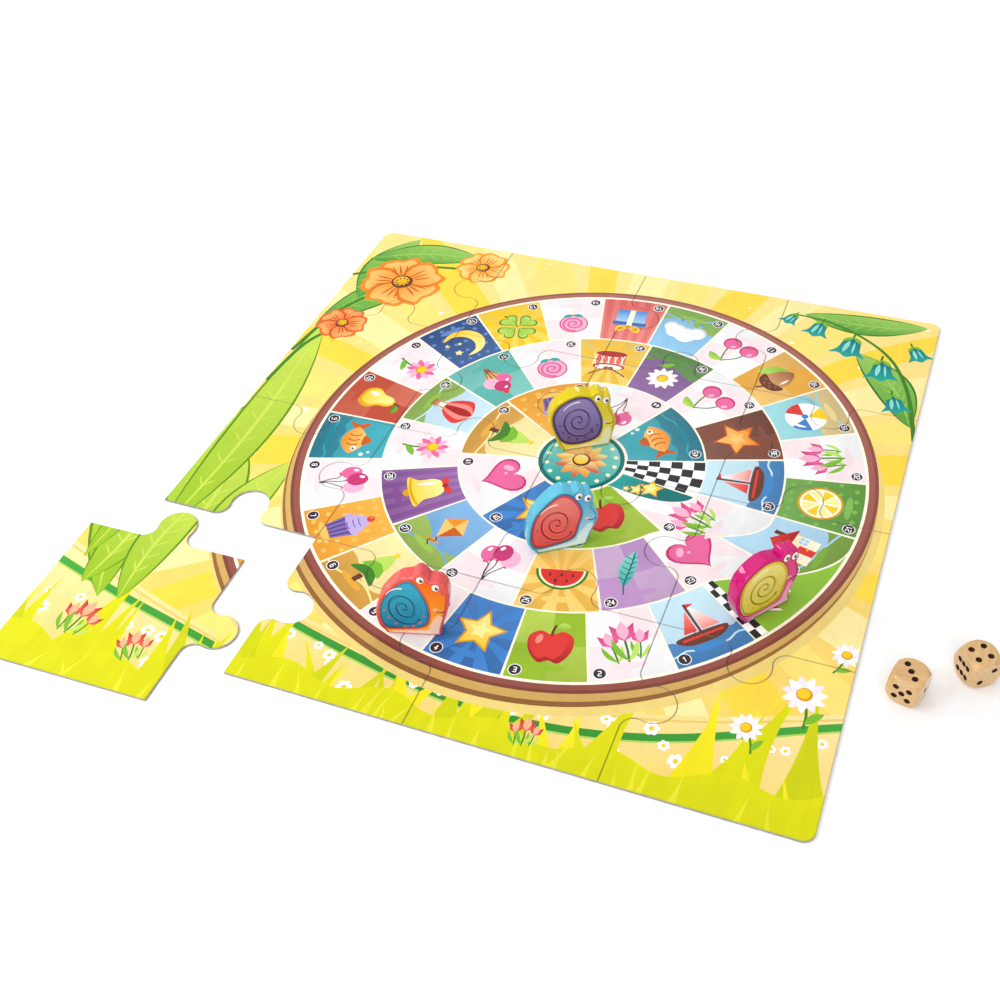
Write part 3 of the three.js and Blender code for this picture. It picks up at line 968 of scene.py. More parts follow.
def paint_corners(sheet):
    pen = Pen(sheet)
    leaf_inks = ("#5E8F12", "#93BC1E", "#C6DA54")
    deep_inks = ("#2C7428", "#4F9A34", "#97C65A")
    for x, y, tip, width, bow, inks in (
            (-196, -178, (-30, 190), 22, 16, leaf_inks),
            (-214, -170, (-12, 130), 18, -12, leaf_inks),
            (-182, -176, (10, 120), 15, 8, leaf_inks),
            (-226, -150, (-4, 250), 17, -8, leaf_inks),
            (-236, 96, (70, 92), 15, 9, deep_inks),
            (-206, 236, (-14, -96), 14, -8, deep_inks),
            (-236, 196, (96, 26), 14, 8, deep_inks)):
        paint_broad_leaf(pen.at(x, y), tip, width, bow, inks)
    for points in (((-238, 60), (-226, 120), (-196, 168)), ((-238, 20), (-232, 70), (-214, 104)),
                   ((-240, 170), (-190, 196), (-140, 206))):
        pen.trail(points, 8, 3.2, GREEN[0])
    paint_poppy(pen.at(-194, 172, 0.2, 34), ORANGE)
    paint_poppy(pen.at(-216, 104, -0.4, 20), ("#C23A1E", "#EE6A2A", "#FFB066"))
    paint_poppy(pen.at(-136, 211, 0.7, 22), ("#D0700E", "#F9A01F", "#FFD680"))
    stem = curve([(241, 96), (228, 150), (206, 190), (166, 216), (128, 222)], 8, False)
    paint_broad_leaf(pen.at(236, 110), (-52, 76), 14, -8, deep_inks)
    paint_broad_leaf(pen.at(232, 232), (-96, -8), 12, 6, deep_inks)
    pen.fill(stroke(stem, 3.4, 0.5), GREEN[0])
    for x, y, turn, size in ((222, 132, 0.3, 15), (206, 168, 0.1, 18), (178, 190, -0.1, 19),
                             (150, 206, -0.2, 15), (127, 214, -0.4, 11), (229, 196, 0.5, 14)):
        paint_bellflower(pen.at(x, y, turn, size), TEAL)
    for x, y, turn, size in ((216, -150, 0.2, 19), (232, -112, -0.3, 13), (190, -182, 0.4, 14)):
        draw_daisy(pen.at(x, y, turn, size), (PURPLE[0], "#F2E9FA", PAPER))
    for x, y, turn, size in ((-150, -206, 0.3, 13), (-196, -196, -0.2, 16), (70, -222, 0.1, 11)):
        draw_tulips(pen.at(x, y, turn, size), (RED[0], "#EE5F4F", "#FFB08A"))


def board_print():
    sheet = []
    paint_sky(sheet)
    paint_meadow(sheet)
    paint_corners(sheet)
    paint_track(sheet)
    return sheet


def knob(sense, inset):
    """One knob along a side: a tab for sense 1, a socket for sense -1."""
    rise = KNOB_REACH - KNOB_HEAD_RADIUS
    span = KNOB_HEAD_RADIUS + KNOB_MOUTH_RADIUS
    reach = math.sqrt(span ** 2 - (rise - KNOB_MOUTH_RADIUS) ** 2)
    lean = math.atan2(rise - KNOB_MOUTH_RADIUS, reach)
    mouth = KNOB_MOUTH_RADIUS + sense * inset
    head = KNOB_HEAD_RADIUS - sense * inset
    near = arc(-reach, KNOB_MOUTH_RADIUS, mouth, -math.pi / 2, lean, 9)
    top = arc(0, rise, head, math.pi + lean, -lean, 30)
    far = arc(reach, KNOB_MOUTH_RADIUS, mouth, math.pi - lean, 1.5 * math.pi, 9)
    return [(x, sense * y) for x, y in near + top[1:-1] + far]


def tile_middle(row, column):
    return (column - (COLUMNS + 1) / 2) * PITCH, ((ROWS + 1) / 2 - row) * PITCH


def tile_outline(row, column, inset, border):
    """A tile's outline: inner sides drawn in by inset, the board's own edge by border."""
    sense = 1 if (row + column) % 2 else -1
    edges = (row == ROWS, column == COLUMNS, row == 1, column == 1)
    middle_x, middle_y = tile_middle(row, column)
    half = PITCH / 2
    outline = []
    for k in range(4):
        cos = (1, 0, -1, 0)[k]
        sin = (0, 1, 0, -1)[k]
        after = edges[(k + 1) % 4]
        side = [] if edges[k] else knob(sense, inset)
        if edges[k] and after:
            side += arc(half - CORNER_RADIUS, -CORNER_RADIUS, CORNER_RADIUS - border,
                        math.pi / 2, 0, 8)
        else:
            side.append((half - (border if after else inset), -(border if edges[k] else inset)))
        for along, out in side:
            outline.append((middle_x + along * cos + (half + out) * sin,
                            middle_y + along * sin - (half + out) * cos))
    return outline


def cut_print(outline, inner, sheet):
    """The print cut to an outline: points, faces, corner colours (darkened as painted shade between
    the outline and the inner loop) and the outline's own loop.
    """
    low = [min(p[k] for p in outline) for k in (0, 1)]
    high = [max(p[k] for p in outline) for k in (0, 1)]
    shapes = [layer for layer in sheet if layer.touches(low, high)]
    points = []
    loops = []
    for loop in [outline, inner] + [layer.points for layer in shapes]:
        loops.append(list(range(len(points), len(points) + len(loop))))
        points += [Vector(p) for p in loop]
    places, _, faces, _, _, owners = delaunay_2d_cdt(points, [], loops, 1, 1e-4, True)
    kept = []
    colours = []
    for face, owner in zip(faces, owners):
        if 0 not in owner:
            continue
        layer = shapes[max(owner) - 2] if max(owner) > 1 else shapes[0]
        # Painted shade: faces outside the inner loop, on a tile's sloping cut edge or a pawn's
        # print rim, are darkened
        painted_shade_factor = 1.0 if 1 in owner else CUT_EDGE_PAINTED_SHADE
        kept.append(face)
        colours.append([[c * painted_shade_factor for c in layer.colour(*places[i])] for i in face])
    edges = {(a, b) for face in kept for a, b in zip(face, face[1:] + face[:1])}
    after = {a: b for a, b in edges if (b, a) not in edges}
    first = min(after)
    loop = [first]
    while after[loop[-1]] != first:
        loop.append(after[loop[-1]])
    used = sorted({i for face in kept for i in face})
    index = {old: new for new, old in enumerate(used)}
    kept = [[index[i] for i in face] for face in kept]
    return [tuple(places[i]) for i in used], kept, colours, [index[i] for i in loop]


def add(name, data):
    """A new object in the scene."""
    thing = bpy.data.objects.new(name, data)
    bpy.context.scene.collection.objects.link(thing)
    return thing


def add_form(name, form, material):
    """A new object from a finished bmesh."""
    mesh = bpy.data.meshes.new(name)
    form.to_mesh(mesh)
    form.free()
    mesh.materials.append(material)
    return add(name, mesh)


def dress(piece, node):
    """Puts a piece in the place of the CAD node that it stands for."""
    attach(piece, node)
    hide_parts(node)


def make_printed(name, points, faces, materials, slots, colours):
    """A piece with printed faces in slot 0 and smooth sides in slot 1."""
    mesh = bpy.data.meshes.new(name)
    mesh.from_pydata(points, [], faces)
    for material in materials:
        mesh.materials.append(material)
    mesh.polygons.foreach_set("material_index", slots)
    mesh.polygons.foreach_set("use_smooth", [slot == 1 for slot in slots])
    ink = mesh.color_attributes.new("print", "FLOAT_COLOR", "CORNER")
    flat = [value for face in colours for corner in face for value in (*corner, 1.0)]
    flat += [1.0] * (4 * len(mesh.loops) - len(flat))
    ink.data.foreach_set("color", flat)
    mesh.validate()
    mesh.update()
    return add(name, mesh)


def make_tile(row, column, sheet, materials):
    outline = tile_outline(row, column, CUT_WIDTH / 2, 0.0)
    inner = tile_outline(row, column, CUT_WIDTH / 2 + CUT_EDGE, CUT_EDGE)
    flat, faces, colours, loop = cut_print(outline, inner, sheet)
    rim = set(loop)
    points = [(x, y, THICKNESS - (CUT_DROP if i in rim else 0.0)) for i, (x, y) in enumerate(flat)]
    slots = [0] * len(faces)
    base = len(points)
    points += [(flat[i][0], flat[i][1], 0.0) for i in loop]
    count = len(loop)
    for k in range(count):
        after = (k + 1) % count
        faces.append([loop[k], base + k, base + after, loop[after]])
        slots.append(1)
    faces.append([base + k for k in range(count - 1, -1, -1)])
    slots.append(2)
    if (row, column) == LOOSE_TILE:
        middle_x, middle_y = tile_middle(row, column)
        turn = Matrix.Rotation(LOOSE_TURN, 3, "Z")
        shift = Vector((middle_x + LOOSE_SHIFT[0], middle_y + LOOSE_SHIFT[1], 0.0))
        points = [turn @ Vector((x - middle_x, y - middle_y, z)) + shift for x, y, z in points]
    points = [(BOARD_X + x * MM, BOARD_Y + y * MM, z * MM) for x, y, z in points]
    piece = make_printed(f"print_r{row}c{column}", points, faces, materials, slots, colours)
    dress(piece, f"puzzle_piece_r{row}c{column}")


# Each snail: shell, eye and face points in percent of foot length and height, its tile,
# its spot there in percent of the tile, its turn, and the inks of body, belly and shell
SNAILS = {
    "pink": {
        "shell": ((-12, 20), (-19, 48), (-7, 78), (34, 95), (72, 88)),
        "eyes": ((83, 95), (94, 89), (108.5, 87)),
        "face": ((106, 70), (113, 46), (98, 18)),
        "tile": (3, 4), "spot": (-3.5, -23), "turn": 51.1,
        "body": ("#92085A", "#CC0472", "#EA4FA2"), "belly": "#F9BAD8",
        "head": ("#EE6FB0", "#CC0A76"),
        "accent": "#F0A830", "swirl": ("#A08F22", "#DCCB3E", "#F0E48A"),
    },
    "red": {
        "shell": ((-9, 15), (-10, 38), (3, 67), (37, 97), (65, 104)),
        "eyes": ((79, 111), (93, 98), (117.5, 91)),
        "lid": ((112, 75), (103, 87), (93, 92)),
        "face": ((121, 64), (117, 48), (104, 18)),
        "tile": (4, 2), "spot": (30.9, 7), "turn": 14.2,
        "body": ("#BE3A3C", "#E8585A", "#F79A5E"), "belly": "#FFD9C6",
        "head": ("#FFB52E", "#F2541B"),
        "accent": "#E8551E", "swirl": ("#065576", "#067FAE", "#2FA9CE"),
    },
    "blue": {
        "shell": ((-9, 14), (-12, 32), (3, 70), (48, 101), (77, 97)),
        "eyes": ((89, 99), (99, 92), (113, 86.5)),
        "face": ((112, 68), (123, 47), (108, 20)),
        "tile": (3, 3), "spot": (-18.8, -12.9), "turn": 34.2,
        "body": ("#2A7FA6", "#5CBCD8", "#A6DFF0"), "belly": "#DDF4FB",
        "head": ("#AFE3F5", "#2E9CCB"),
        "accent": "#2A6F96", "swirl": ("#A22A38", "#DC4650", "#F08A80"),
    },
    "yellow": {
        "shell": ((-10, 24), (-21, 58), (-8, 84), (31, 99), (64, 94)),
        "eyes": ((78, 98), (89, 91), (101.5, 87.5)),
        "face": ((101, 70), (112, 43), (105, 18)),
        "tile": (2, 3), "spot": (-33, -30), "turn": 30.6,
        "body": ("#AC9200", "#DCC600", "#F4E566"), "belly": "#F7F0D2",
        "head": ("#F2E25C", "#DCC600"),
        "accent": "#3E2F66", "swirl": ("#46346F", "#6B5698", "#9C8BC0"),
    },
}


def snail_points(percents):
    """Points in millimetres from the back end of the foot."""
    return [(x * PAWN_FOOT_LENGTH / 100, y * PAWN_HEIGHT / 100) for x, y in percents]


def corner(first, control, last, steps):
    """A round corner towards a control point, without its first point."""
    points = []
    for k in range(1, steps + 1):
        t = k / steps
        points.append(tuple((1 - t) ** 2 * a + 2 * t * (1 - t) * b + t * t * c
                            for a, b, c in zip(first, control, last)))
    return points


def arch(first, top, last):
    """A round arch through its top, without its first point."""
    return corner(first, [2 * b - (a + c) / 2 for a, b, c in zip(first, top, last)], last, 18)


def snail_outline(snail):
    """The pawn's outline, counterclockwise, with a crease on each side of an eye."""
    r = PAWN_FOOT_RADIUS
    foot = PAWN_FOOT_LENGTH
    shell = snail_points(snail["shell"])
    rear, dip, front = snail_points(snail["eyes"])
    notch, nose, chin = snail_points(snail["face"])
    line = curve([(0, r)] + shell, 12, False)
    line += arch(shell[-1], rear, dip) + arch(dip, front, notch)
    line += curve([notch, nose, chin, (foot, r)], 12, False)[1:]
    line += corner((foot, r), (foot, 0), (foot - r, 0), 6)
    line += [(foot - r - (foot - 2 * r) * k / 20, 0.0) for k in range(1, 21)]
    line += corner((r, 0), (0, 0), (0, r), 6)[:-1]
    return line[::-1]


def grow(loop, amount):
    """A closed counterclockwise loop moved outwards."""
    count = len(loop)
    moved = []
    for i, (x, y) in enumerate(loop):
        ax, ay = loop[i - 1]
        bx, by = loop[(i + 1) % count]
        length = math.hypot(bx - ax, by - ay)
        moved.append((x + (by - ay) / length * amount, y - (bx - ax) / length * amount))
    return moved


def carried(points, first, second):
    """Points that lie on one loop, carried over to the same places on another."""
    count = len(first)
    moved = []
    for x, y in points:
        nearest = None
        for k in range(count):
            ax, ay = first[k]
            bx, by = first[(k + 1) % count]
            run = (bx - ax) ** 2 + (by - ay) ** 2
            t = min(max(((x - ax) * (bx - ax) + (y - ay) * (by - ay)) / run, 0.0), 1.0)
            off = math.hypot(x - ax - t * (bx - ax), y - ay - t * (by - ay))
            if nearest is None or off < nearest[0]:
                nearest = (off, k, t)
        _, k, t = nearest
        moved.append(blend(second[k], second[(k + 1) % count], t))
    return moved


def paint_snail(snail, outline):
    """The picture on a pawn's broad faces."""
    sheet = []
    pen = Pen(sheet)
    dark, main, light = snail["body"]
    swirl = snail["swirl"]
    pen.fill(box(-20, -5, 60, 70), dark, main)
    pen.fill(grow(outline, -PAWN_EDGE - 0.7), *snail["head"])
    shell = snail_points(snail["shell"])
    nape = shell[-1]
    low = shell[0]
    foot = PAWN_FOOT_LENGTH
    rear, dip, front = snail_points(snail["eyes"])
    notch, nose, _ = snail_points(snail["face"])
    if "lid" in snail:
        pen.fill([dip] + arch(dip, front, notch)[:13] + snail_points(snail["lid"]), main)
    belly = [(foot * 0.08, 1.7), (foot * 0.96, 1.7), (foot, 6.5), (nose[0] - 3.6, nose[1] - 6.5),
             (nose[0] - 7.4, nose[1] - 5.0), (foot * 0.84, 10.5), (foot * 0.76, 5.0),
             (foot * 0.4, 3.4)]
    pen.smooth(belly, 5, snail["belly"], tint(snail["belly"], 0.4, light))
    ring = [(low[0] + 1.6, low[1] - 3.4)] + shell[1:]
    ring += [(nape[0] + 7.5, nape[1] * 0.68), (foot * 0.9, 18.0), (foot * 0.76, 6.0),
             (foot * 0.28, 2.6)]
    middle = [sum(p[k] for p in ring) / len(ring) for k in (0, 1)]
    for share, ink, fade in ((0.92, dark, dark), (0.89, snail["accent"], snail["accent"]),
                             (0.86, swirl[0], swirl[1]), (0.8, swirl[1], swirl[2])):
        rim = [blend(middle, spot, share) for spot in ring]
        pen.smooth(rim, 6, ink, fade)
    wide = (max(p[0] for p in ring) - min(p[0] for p in ring)) * 0.5
    tall = (max(p[1] for p in ring) - min(p[1] for p in ring)) * 0.5
    squeeze = tall / wide
    groove = coil(middle[0], middle[1], wide * 0.62, 2.35, squeeze, 3.6, 28)
    pen.fill(stroke(groove, 1.5, -0.25), swirl[0])
    gloss = coil(middle[0] + 0.5, middle[1] + 0.6, wide * 0.6, 2.3, squeeze, 3.6, 28)
    pen.line(gloss, 0.45, swirl[2])
    for k in range(7):
        a = math.radians(188 + 25 * k)
        spot = (middle[0] + wide * 0.7 * math.cos(a), middle[1] + tall * 0.7 * math.sin(a))
        pen.fill(oval(spot[0], spot[1], 1.0 - 0.08 * abs(k - 3), sides=14), snail["accent"])
    gleam = arc(middle[0], middle[1], wide * 0.72, 1.5, 2.4, 8)
    gleam = [(x, middle[1] + (y - middle[1]) * squeeze) for x, y in gleam]
    pen.fill(stroke(gleam, 1.1, 0.6), PAPER)
    far = blend(dip, front, 0.4)
    for x, y in ((rear[0] - 0.6, rear[1] - 5.2), (far[0] - 0.4, far[1] - 3.4)):
        eye = pen.at(x, y, -0.15, 1.0)
        eye.fill(oval(0, 0, 2.6, 3.2), dark)
        eye.fill(oval(0, 0, 2.25, 2.85), PAPER)
        eye.fill(oval(0.7, -0.5, 1.15, 1.5), INK)
        eye.fill(oval(1.05, 0.2, 0.38), PAPER)
    cheek = (nose[0] - 5.4, nose[1] - 1.0)
    pen.fill(oval(cheek[0] - 2.2, cheek[1] + 1.2, 1.7, 1.3), tint(snail["belly"], 0.35, RED[2]))
    pen.line(arc(cheek[0] + 0.6, cheek[1] + 2.4, 3.2, -2.5, -0.6, 10), 0.75, INK)
    return sheet


def make_pawn(colour, snail, materials):
    outline = snail_outline(snail)
    sheet = paint_snail(snail, outline)
    face = grow(outline, -PAWN_EDGE)
    flat, front, inks, loop = cut_print(face, grow(face, -PAWN_RIM), sheet)
    x0, y0 = [m + spot * PITCH / 100 for m, spot in zip(tile_middle(*snail["tile"]), snail["spot"])]
    turn = math.radians(snail["turn"])

    def place(x, depth, z):
        along = x - PAWN_FOOT_LENGTH / 2
        return (BOARD_X + (x0 + along * math.cos(turn) - depth * math.sin(turn)) * MM,
                BOARD_Y + (y0 + along * math.sin(turn) + depth * math.cos(turn)) * MM,
                (THICKNESS + PAWN_SEAT_GAP + z) * MM)

    half = PAWN_THICKNESS / 2
    count = len(flat)
    points = [place(x, -half, z) for x, z in flat] + [place(x, half, z) for x, z in flat]
    faces = front + [[count + i for i in face[::-1]] for face in front]
    colours = inks + [ink[::-1] for ink in inks]
    slots = [0] * len(faces)
    edge = [flat[i] for i in loop]
    full = carried(edge, face, outline)
    rings = [loop]
    angles = [math.pi / 2 * k / 6 for k in range(1, 7)]
    depths = [(PAWN_EDGE * math.sin(a), -half + PAWN_EDGE * (1 - math.cos(a))) for a in angles]
    depths += [(out, -depth) for out, depth in depths[::-1]]
    for out, depth in depths:
        rings.append(list(range(len(points), len(points) + len(edge))))
        ring = [blend(near, far, out / PAWN_EDGE) for near, far in zip(edge, full)]
        points += [place(x, depth, z) for x, z in ring]
    rings.append([count + i for i in loop])
    size = len(loop)
    for near, far in zip(rings, rings[1:]):
        for k in range(size):
            after = (k + 1) % size
            faces.append([near[k], far[k], far[after], near[after]])
            slots.append(1)
    piece = make_printed(f"painted_{colour}", points, faces, materials, slots, colours)
    piece.data.set_sharp_from_angle(angle=PAWN_CREASE)
    dress(piece, f"snail_pawn_{colour}")


def pip_spots(value):
    """Pip places of one die face, in steps from its middle."""
    spots = {1: ((0, 0),), 2: ((-1, -1), (1, 1)), 3: ((-1, 1), (0, 0), (1, -1))}
    spots[4] = ((-1, -1), (1, 1), (-1, 1), (1, -1))
    spots[5] = spots[4] + ((0, 0),)
    spots[6] = spots[4] + ((0, -1), (0, 1))
    return spots[value]


def apply_modifiers(piece):
    """The mesh with its modifiers applied and without slivers."""
    graph = bpy.context.evaluated_depsgraph_get()
    mesh = bpy.data.meshes.new_from_object(piece.evaluated_get(graph))
    piece.modifiers.clear()
    piece.data = mesh
    form = bmesh.new()
    form.from_mesh(mesh)
    bmesh.ops.remove_doubles(form, verts=form.verts, dist=SLIVER * MM)
    bmesh.ops.dissolve_degenerate(form, edges=form.edges, dist=SLIVER * MM)
    form.to_mesh(mesh)
    form.free()


def ball_mesh(name, radius, sides, rings, places, material):
    """Balls of one size, each at a place and with its axis along a direction."""
    form = bmesh.new()
    for place, axis in places:
        turn = Vector((0, 0, 1)).rotation_difference(Vector(axis)).to_matrix().to_4x4()
        bmesh.ops.create_uvsphere(form, u_segments=sides, v_segments=rings, radius=radius,
                                  matrix=Matrix.Translation(place) @ turn)
    return add_form(name, form, material)


def make_die(name, turn, values, wood, ink):
    """A cube turned down to a ball, with a hollow for each pip. Values: top, front, right."""
    low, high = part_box(name)
    middle = Vector([(a + b) / 2 for a, b in zip(low, high)])
    half = DIE_SIZE / 2 * MM
    form = bmesh.new()
    bmesh.ops.create_cube(form, size=2.0)
    bmesh.ops.subdivide_edges(form, edges=form.edges[:], cuts=DIE_GRID - 1, use_grid_fill=True)
    for vertex in form.verts:
        way = vertex.co.normalized()
        flat = DIE_SIZE / 2 / max(abs(c) for c in way)
        near = max(DIE_ROUNDING - abs(flat - DIE_BALL_RADIUS), 0.0) / DIE_ROUNDING
        vertex.co = way * (min(flat, DIE_BALL_RADIUS) - near * near * DIE_ROUNDING / 4) * MM
    piece = add_form(f"turned_{name}", form, wood)
    rise = (PIP_RADIUS ** 2 - PIP_DEPTH ** 2) / (2 * PIP_DEPTH)
    faces = (((0, 0, 1), (1, 0, 0), (0, 1, 0)),
             ((0, -1, 0), (1, 0, 0), (0, 0, 1)),
             ((1, 0, 0), (0, 1, 0), (0, 0, 1)))
    places = []
    for value, (axis, across, up) in zip(values, faces):
        for sign, count in ((1, value), (-1, 7 - value)):
            for a, b in pip_spots(count):
                spot = Vector(axis) * sign * (half + rise * MM)
                spot += (Vector(across) * a + Vector(up) * b) * PIP_SPACING * MM
                places.append((spot, Vector(axis) * sign))
    pips = ball_mesh("pips", (rise + PIP_DEPTH) * MM, 32, 24, places, ink)
    cut = piece.modifiers.new("pips", "BOOLEAN")
    cut.operation = "DIFFERENCE"
    cut.object = pips
    cut.material_mode = "TRANSFER"
    apply_modifiers(piece)
    piece.data.transform(Matrix.Translation(middle) @ Matrix.Rotation(math.radians(turn), 4, "Z"))
    piece.data.shade_smooth()
    piece.data.set_sharp_from_angle(angle=DIE_CREASE)
    bpy.data.objects.remove(pips)
    dress(piece, name)


def new_material(name, fixed):
    """A material, its node tree and its shader. Fixed values are the same all over the surface."""
    material = bpy.data.materials.new(name)
    material.use_nodes = True
    tree = material.node_tree
    shader = tree.nodes["Principled BSDF"]
    for socket, value in fixed.items():
        shader.inputs[socket].default_value = value
    return material, tree, shader


def add_node(tree, kind, inputs):
    """A new node with each input set to a value or linked to an output."""
    node = tree.nodes.new(f"ShaderNode{kind}")
    for socket, value in inputs.items():
        if isinstance(value, bpy.types.NodeSocket):
            tree.links.new(value, node.inputs[socket])
        else:
            node.inputs[socket].default_value = value
    return node


def noise(tree, scale, detail=3.0, stretch=(1, 1, 1), rough=0.55):
    """Noise over the object, stretched along its axes."""
    place = add_node(tree, "TexCoord", {})
    mapping = add_node(tree, "Mapping", {"Vector": place.outputs["Object"], "Scale": stretch})
    texture = add_node(tree, "TexNoise", {"Vector": mapping.outputs["Vector"], "Scale": scale,
                                          "Detail": detail, "Roughness": rough})
    return texture.outputs["Fac"]


def remap(tree, value, low, high):
    """Noise moved from its usual range to another."""
    node = add_node(tree, "MapRange", {"Value": value, "From Min": 0.3, "From Max": 0.7,
                                       "To Min": low, "To Max": high})
    return node.outputs["Result"]


def ramp(tree, value, stops):
    """Noise as a run of colours."""
    node = add_node(tree, "ValToRGB", {"Fac": value})
    elements = node.color_ramp.elements
    while len(elements) < len(stops):
        elements.new(0.5)
    for element, (place, code) in zip(elements, stops):
        element.position = place
        element.color = (*linear(code), 1.0)
    return node.outputs["Color"]


def varied(tree, colour, low, high, *texture):
    """A colour made darker and lighter over the surface by noise."""
    node = tree.nodes.new("ShaderNodeMix")
    node.data_type = "RGBA"
    node.blend_type = "MULTIPLY"
    node.inputs["Factor"].default_value = 1.0
    tree.links.new(colour, node.inputs["A"])
    tree.links.new(remap(tree, noise(tree, *texture), low, high), node.inputs["B"])
    return node.outputs["Result"]


def surface(tree, shader, colour, rough, height, strength, distance):
    """Links a shader's colour, roughness and bump."""
    bump = add_node(tree, "Bump", {"Height": height, "Strength": strength, "Distance": distance})
    tree.links.new(colour, shader.inputs["Base Color"])
    tree.links.new(rough, shader.inputs["Roughness"])
    tree.links.new(bump.outputs["Normal"], shader.inputs["Normal"])


def print_material(name, gloss, coat, tooth):
    """Ink on paper under a clear film, with a faint mottle and tooth."""
    fixed = {"Coat Weight": coat, "Coat Roughness": gloss * 0.6, "Specular IOR Level": 0.15}
    material, tree, shader = new_material(name, fixed)
    ink = add_node(tree, "Attribute", {})
    ink.attribute_name = "print"
    mottled = varied(tree, ink.outputs["Color"], 0.96, 1.02, 45, 4.0)
    brushed = varied(tree, mottled, 0.955, 1.025, 150, 4.0, (1, 0.2, 1))
    grained = varied(tree, brushed, 0.97, 1.02, 1500, 2.0)
    rough = remap(tree, noise(tree, 160, 3.0), gloss - 0.05, gloss + 0.07)
    surface(tree, shader, grained, rough, noise(tree, 1900, 2.0), tooth, 0.0001)
    return material


def greyboard_material():
    """The cut edge of grey board: layered fibres with dark and pale specks."""
    material, tree, shader = new_material("greyboard_edge", {})
    layers = ramp(tree, noise(tree, 260, 5.0, (1, 1, 9)),
                  [(0.3, "#86827C"), (0.5, "#A5A19A"), (0.7, "#BDB9B1")])
    speckled = varied(tree, layers, 0.86, 1.06, 2400, 2.0)
    rough = remap(tree, noise(tree, 900), 0.78, 0.95)
    surface(tree, shader, speckled, rough, noise(tree, 1300, 4.0, (1, 1, 5)), 0.5, 0.0002)
    return material


def backing_material():
    """Plain uncoated paper on the underside."""
    material, tree, shader = new_material("backing_paper", {})
    paper = ramp(tree, noise(tree, 60, 5.0), [(0.3, "#D9D6CF"), (0.5, "#E4E1DA"), (0.7, "#ECEAE4")])
    flecked = varied(tree, paper, 0.94, 1.03, 1800, 3.0)
    rough = remap(tree, noise(tree, 500), 0.75, 0.9)
    surface(tree, shader, flecked, rough, noise(tree, 1600, 3.0), 0.3, 0.0001)
    return material


def paint_material(colour, tones):
    """Thick glossy paint on the sawn edge of a pawn."""
    fixed = {"Coat Weight": 0.75, "Coat Roughness": 0.05, "Specular IOR Level": 0.05}
    material, tree, shader = new_material(f"gloss_{colour}", fixed)
    brushed = ramp(tree, noise(tree, 130, 4.0, (1, 1, 0.35)),
                   [(0.2, tint(tones[1], 0.3, tones[0])), (0.42, tones[1]), (0.6, tones[1]),
                    (0.85, tint(tones[1], 0.25, tones[2]))])
    flecked = varied(tree, brushed, 0.95, 1.03, 900, 2.0)
    rough = remap(tree, noise(tree, 300, 3.0), 0.22, 0.34)
    surface(tree, shader, flecked, rough, noise(tree, 300, 3.0, (1, 1, 0.5)), 0.07, 0.0003)
    return material


def wood_material(name, along):
    """Pale varnished wood with its grain along one axis."""
    material, tree, shader = new_material(name, {"Coat Weight": 0.8, "Coat Roughness": 0.07})
    stretch = [1.0, 1.0, 1.0]
    stretch[along] = 0.12
    grain = ramp(tree, noise(tree, 420, 6.0, stretch, 0.62),
                 [(0.22, "#CB9A5E"), (0.45, "#D4A86C"), (0.6, "#DAB278"), (0.8, "#E0BB84")])
    pored = varied(tree, grain, 0.93, 1.03, 2600, 2.0, stretch)
    warm = varied(tree, pored, 0.95, 1.03, 70, 2.0)
    rough = remap(tree, noise(tree, 800, 3.0, stretch), 0.32, 0.46)
    surface(tree, shader, warm, rough, noise(tree, 1400, 4.0, stretch), 0.06, 0.0002)
    return material


def pip_material():
    """Dark paint in the pips."""
    material, tree, shader = new_material("pip_paint", {"Specular IOR Level": 0.15})
    stops = [(0.3, "#1C0D07"), (0.55, "#2B150C"), (0.75, "#402315")]
    dark = ramp(tree, noise(tree, 900, 3.0), stops)
    rough = remap(tree, noise(tree, 1200), 0.35, 0.6)
    surface(tree, shader, dark, rough, noise(tree, 1500), 0.25, 0.0002)
    return material


def make_floor():
    fixed = {"Roughness": 0.9, "Specular IOR Level": 0.1}
    material, tree, shader = new_material("floor_white", fixed)
    shade = ramp(tree, noise(tree, 3.0), [(0.3, "#F8F8F8"), (0.7, "#FBFBFB")])
    tree.links.new(shade, shader.inputs["Base Color"])
    form = bmesh.new()
    bmesh.ops.create_grid(form, x_segments=4, y_segments=4, size=FLOOR_SIZE)
    add_form("floor", form, material)


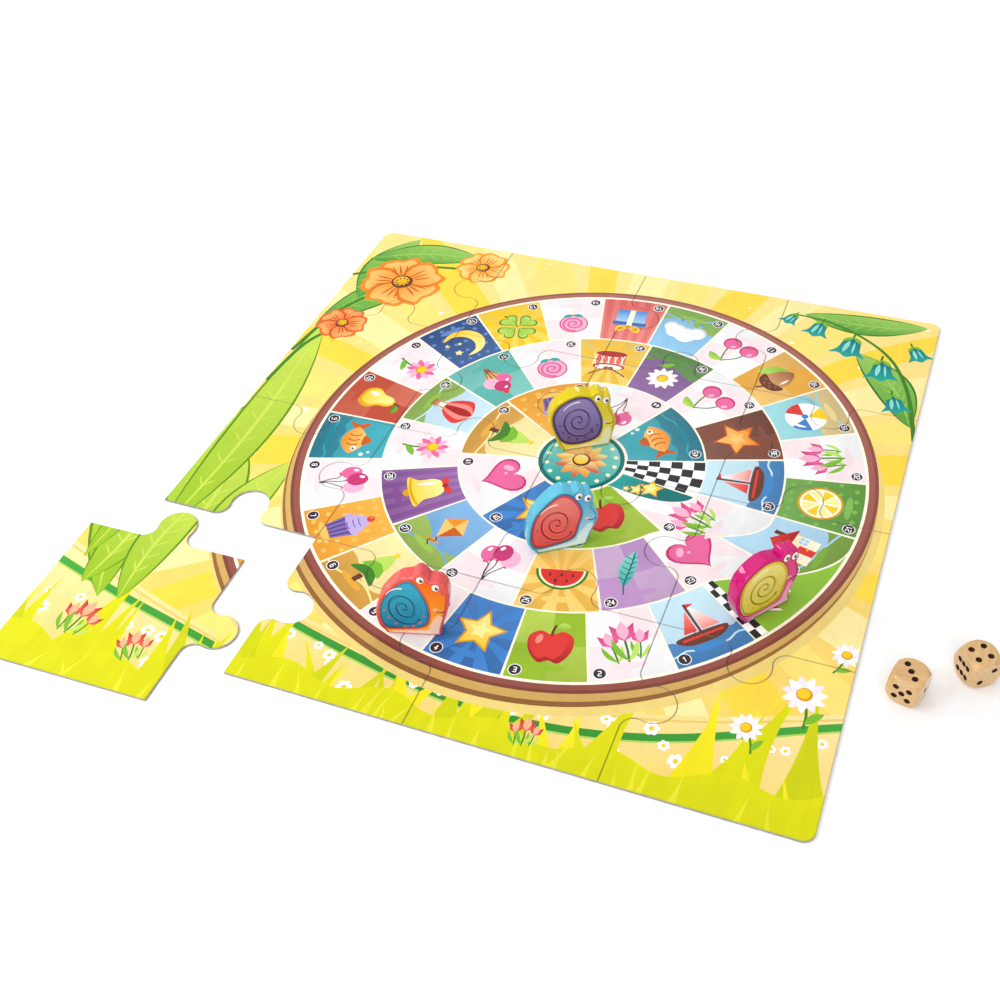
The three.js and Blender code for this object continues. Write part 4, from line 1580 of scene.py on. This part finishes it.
def make_camera():
    camera = bpy.data.cameras.new("camera")
    camera.sensor_fit = "HORIZONTAL"
    camera.sensor_width = 36.0
    camera.lens = CAMERA_LENS
    camera.shift_x = CAMERA_SHIFT
    camera.clip_start = 0.01
    holder = add("camera", camera)
    x, y, z = CAMERA_PLACE
    holder.location = (BOARD_X + x, BOARD_Y + y, z)
    holder.rotation_euler = [math.radians(angle) for angle in CAMERA_TURN]
    bpy.context.scene.camera = holder


def make_softbox(name, place, target, width, power):
    light = bpy.data.lights.new(name, "AREA")
    light.shape = "RECTANGLE"
    light.size = width
    light.size_y = width * 0.7
    light.energy = power
    holder = add(name, light)
    holder.location = place
    holder.rotation_euler = (Vector(target) - Vector(place)).to_track_quat("-Z", "Y").to_euler()


def make_sun(name, angles, power, spread):
    sun = bpy.data.lights.new(name, "SUN")
    sun.energy = power
    sun.angle = math.radians(spread)
    add(name, sun).rotation_euler = [math.radians(angle) for angle in angles]


def make_light():
    scene = bpy.context.scene
    scene.view_settings.view_transform = "Standard"
    world = bpy.data.worlds.new("studio")
    world.use_nodes = True
    background = world.node_tree.nodes["Background"]
    background.inputs["Color"].default_value = (1.0, 1.0, 1.0, 1.0)
    background.inputs["Strength"].default_value = WORLD_LIGHT
    scene.world = world
    make_sun("overhead", (-8, -10, 0), 0.55, 70)
    make_sun("front_fill", (55, 0, 14), 0.98, 60)
    make_softbox("left_softbox", (-0.9, -0.15, 0.75), (0, 0, 0.03), 0.34, 2.8)
    make_softbox("glint_softbox", (-0.6, -0.72, 0.88), (0.2, -0.1, 0.02), 0.4, 3.4)
    make_softbox("back_softbox", (-0.25, 1.0, 0.7), (0, 0, 0.03), 0.3, 1.2)


make_camera()
make_light()
make_floor()

board_sheet = board_print()
board_materials = [print_material("board_print", 0.42, 0.05, 0.1), greyboard_material(),
                   backing_material()]
for tile_row in range(1, ROWS + 1):
    for tile_column in range(1, COLUMNS + 1):
        make_tile(tile_row, tile_column, board_sheet, board_materials)

pawn_print = print_material("pawn_print", 0.3, 0.3, 0.06)
for pawn_colour, pawn in SNAILS.items():
    make_pawn(pawn_colour, pawn, [pawn_print, paint_material(pawn_colour, pawn["body"])])

pip_ink = pip_material()
make_die("die_1", -15.5, (3, 5, 1), wood_material("wood_first", 0), pip_ink)
make_die("die_2", 37.4, (4, 2, 1), wood_material("wood_second", 1), pip_ink)
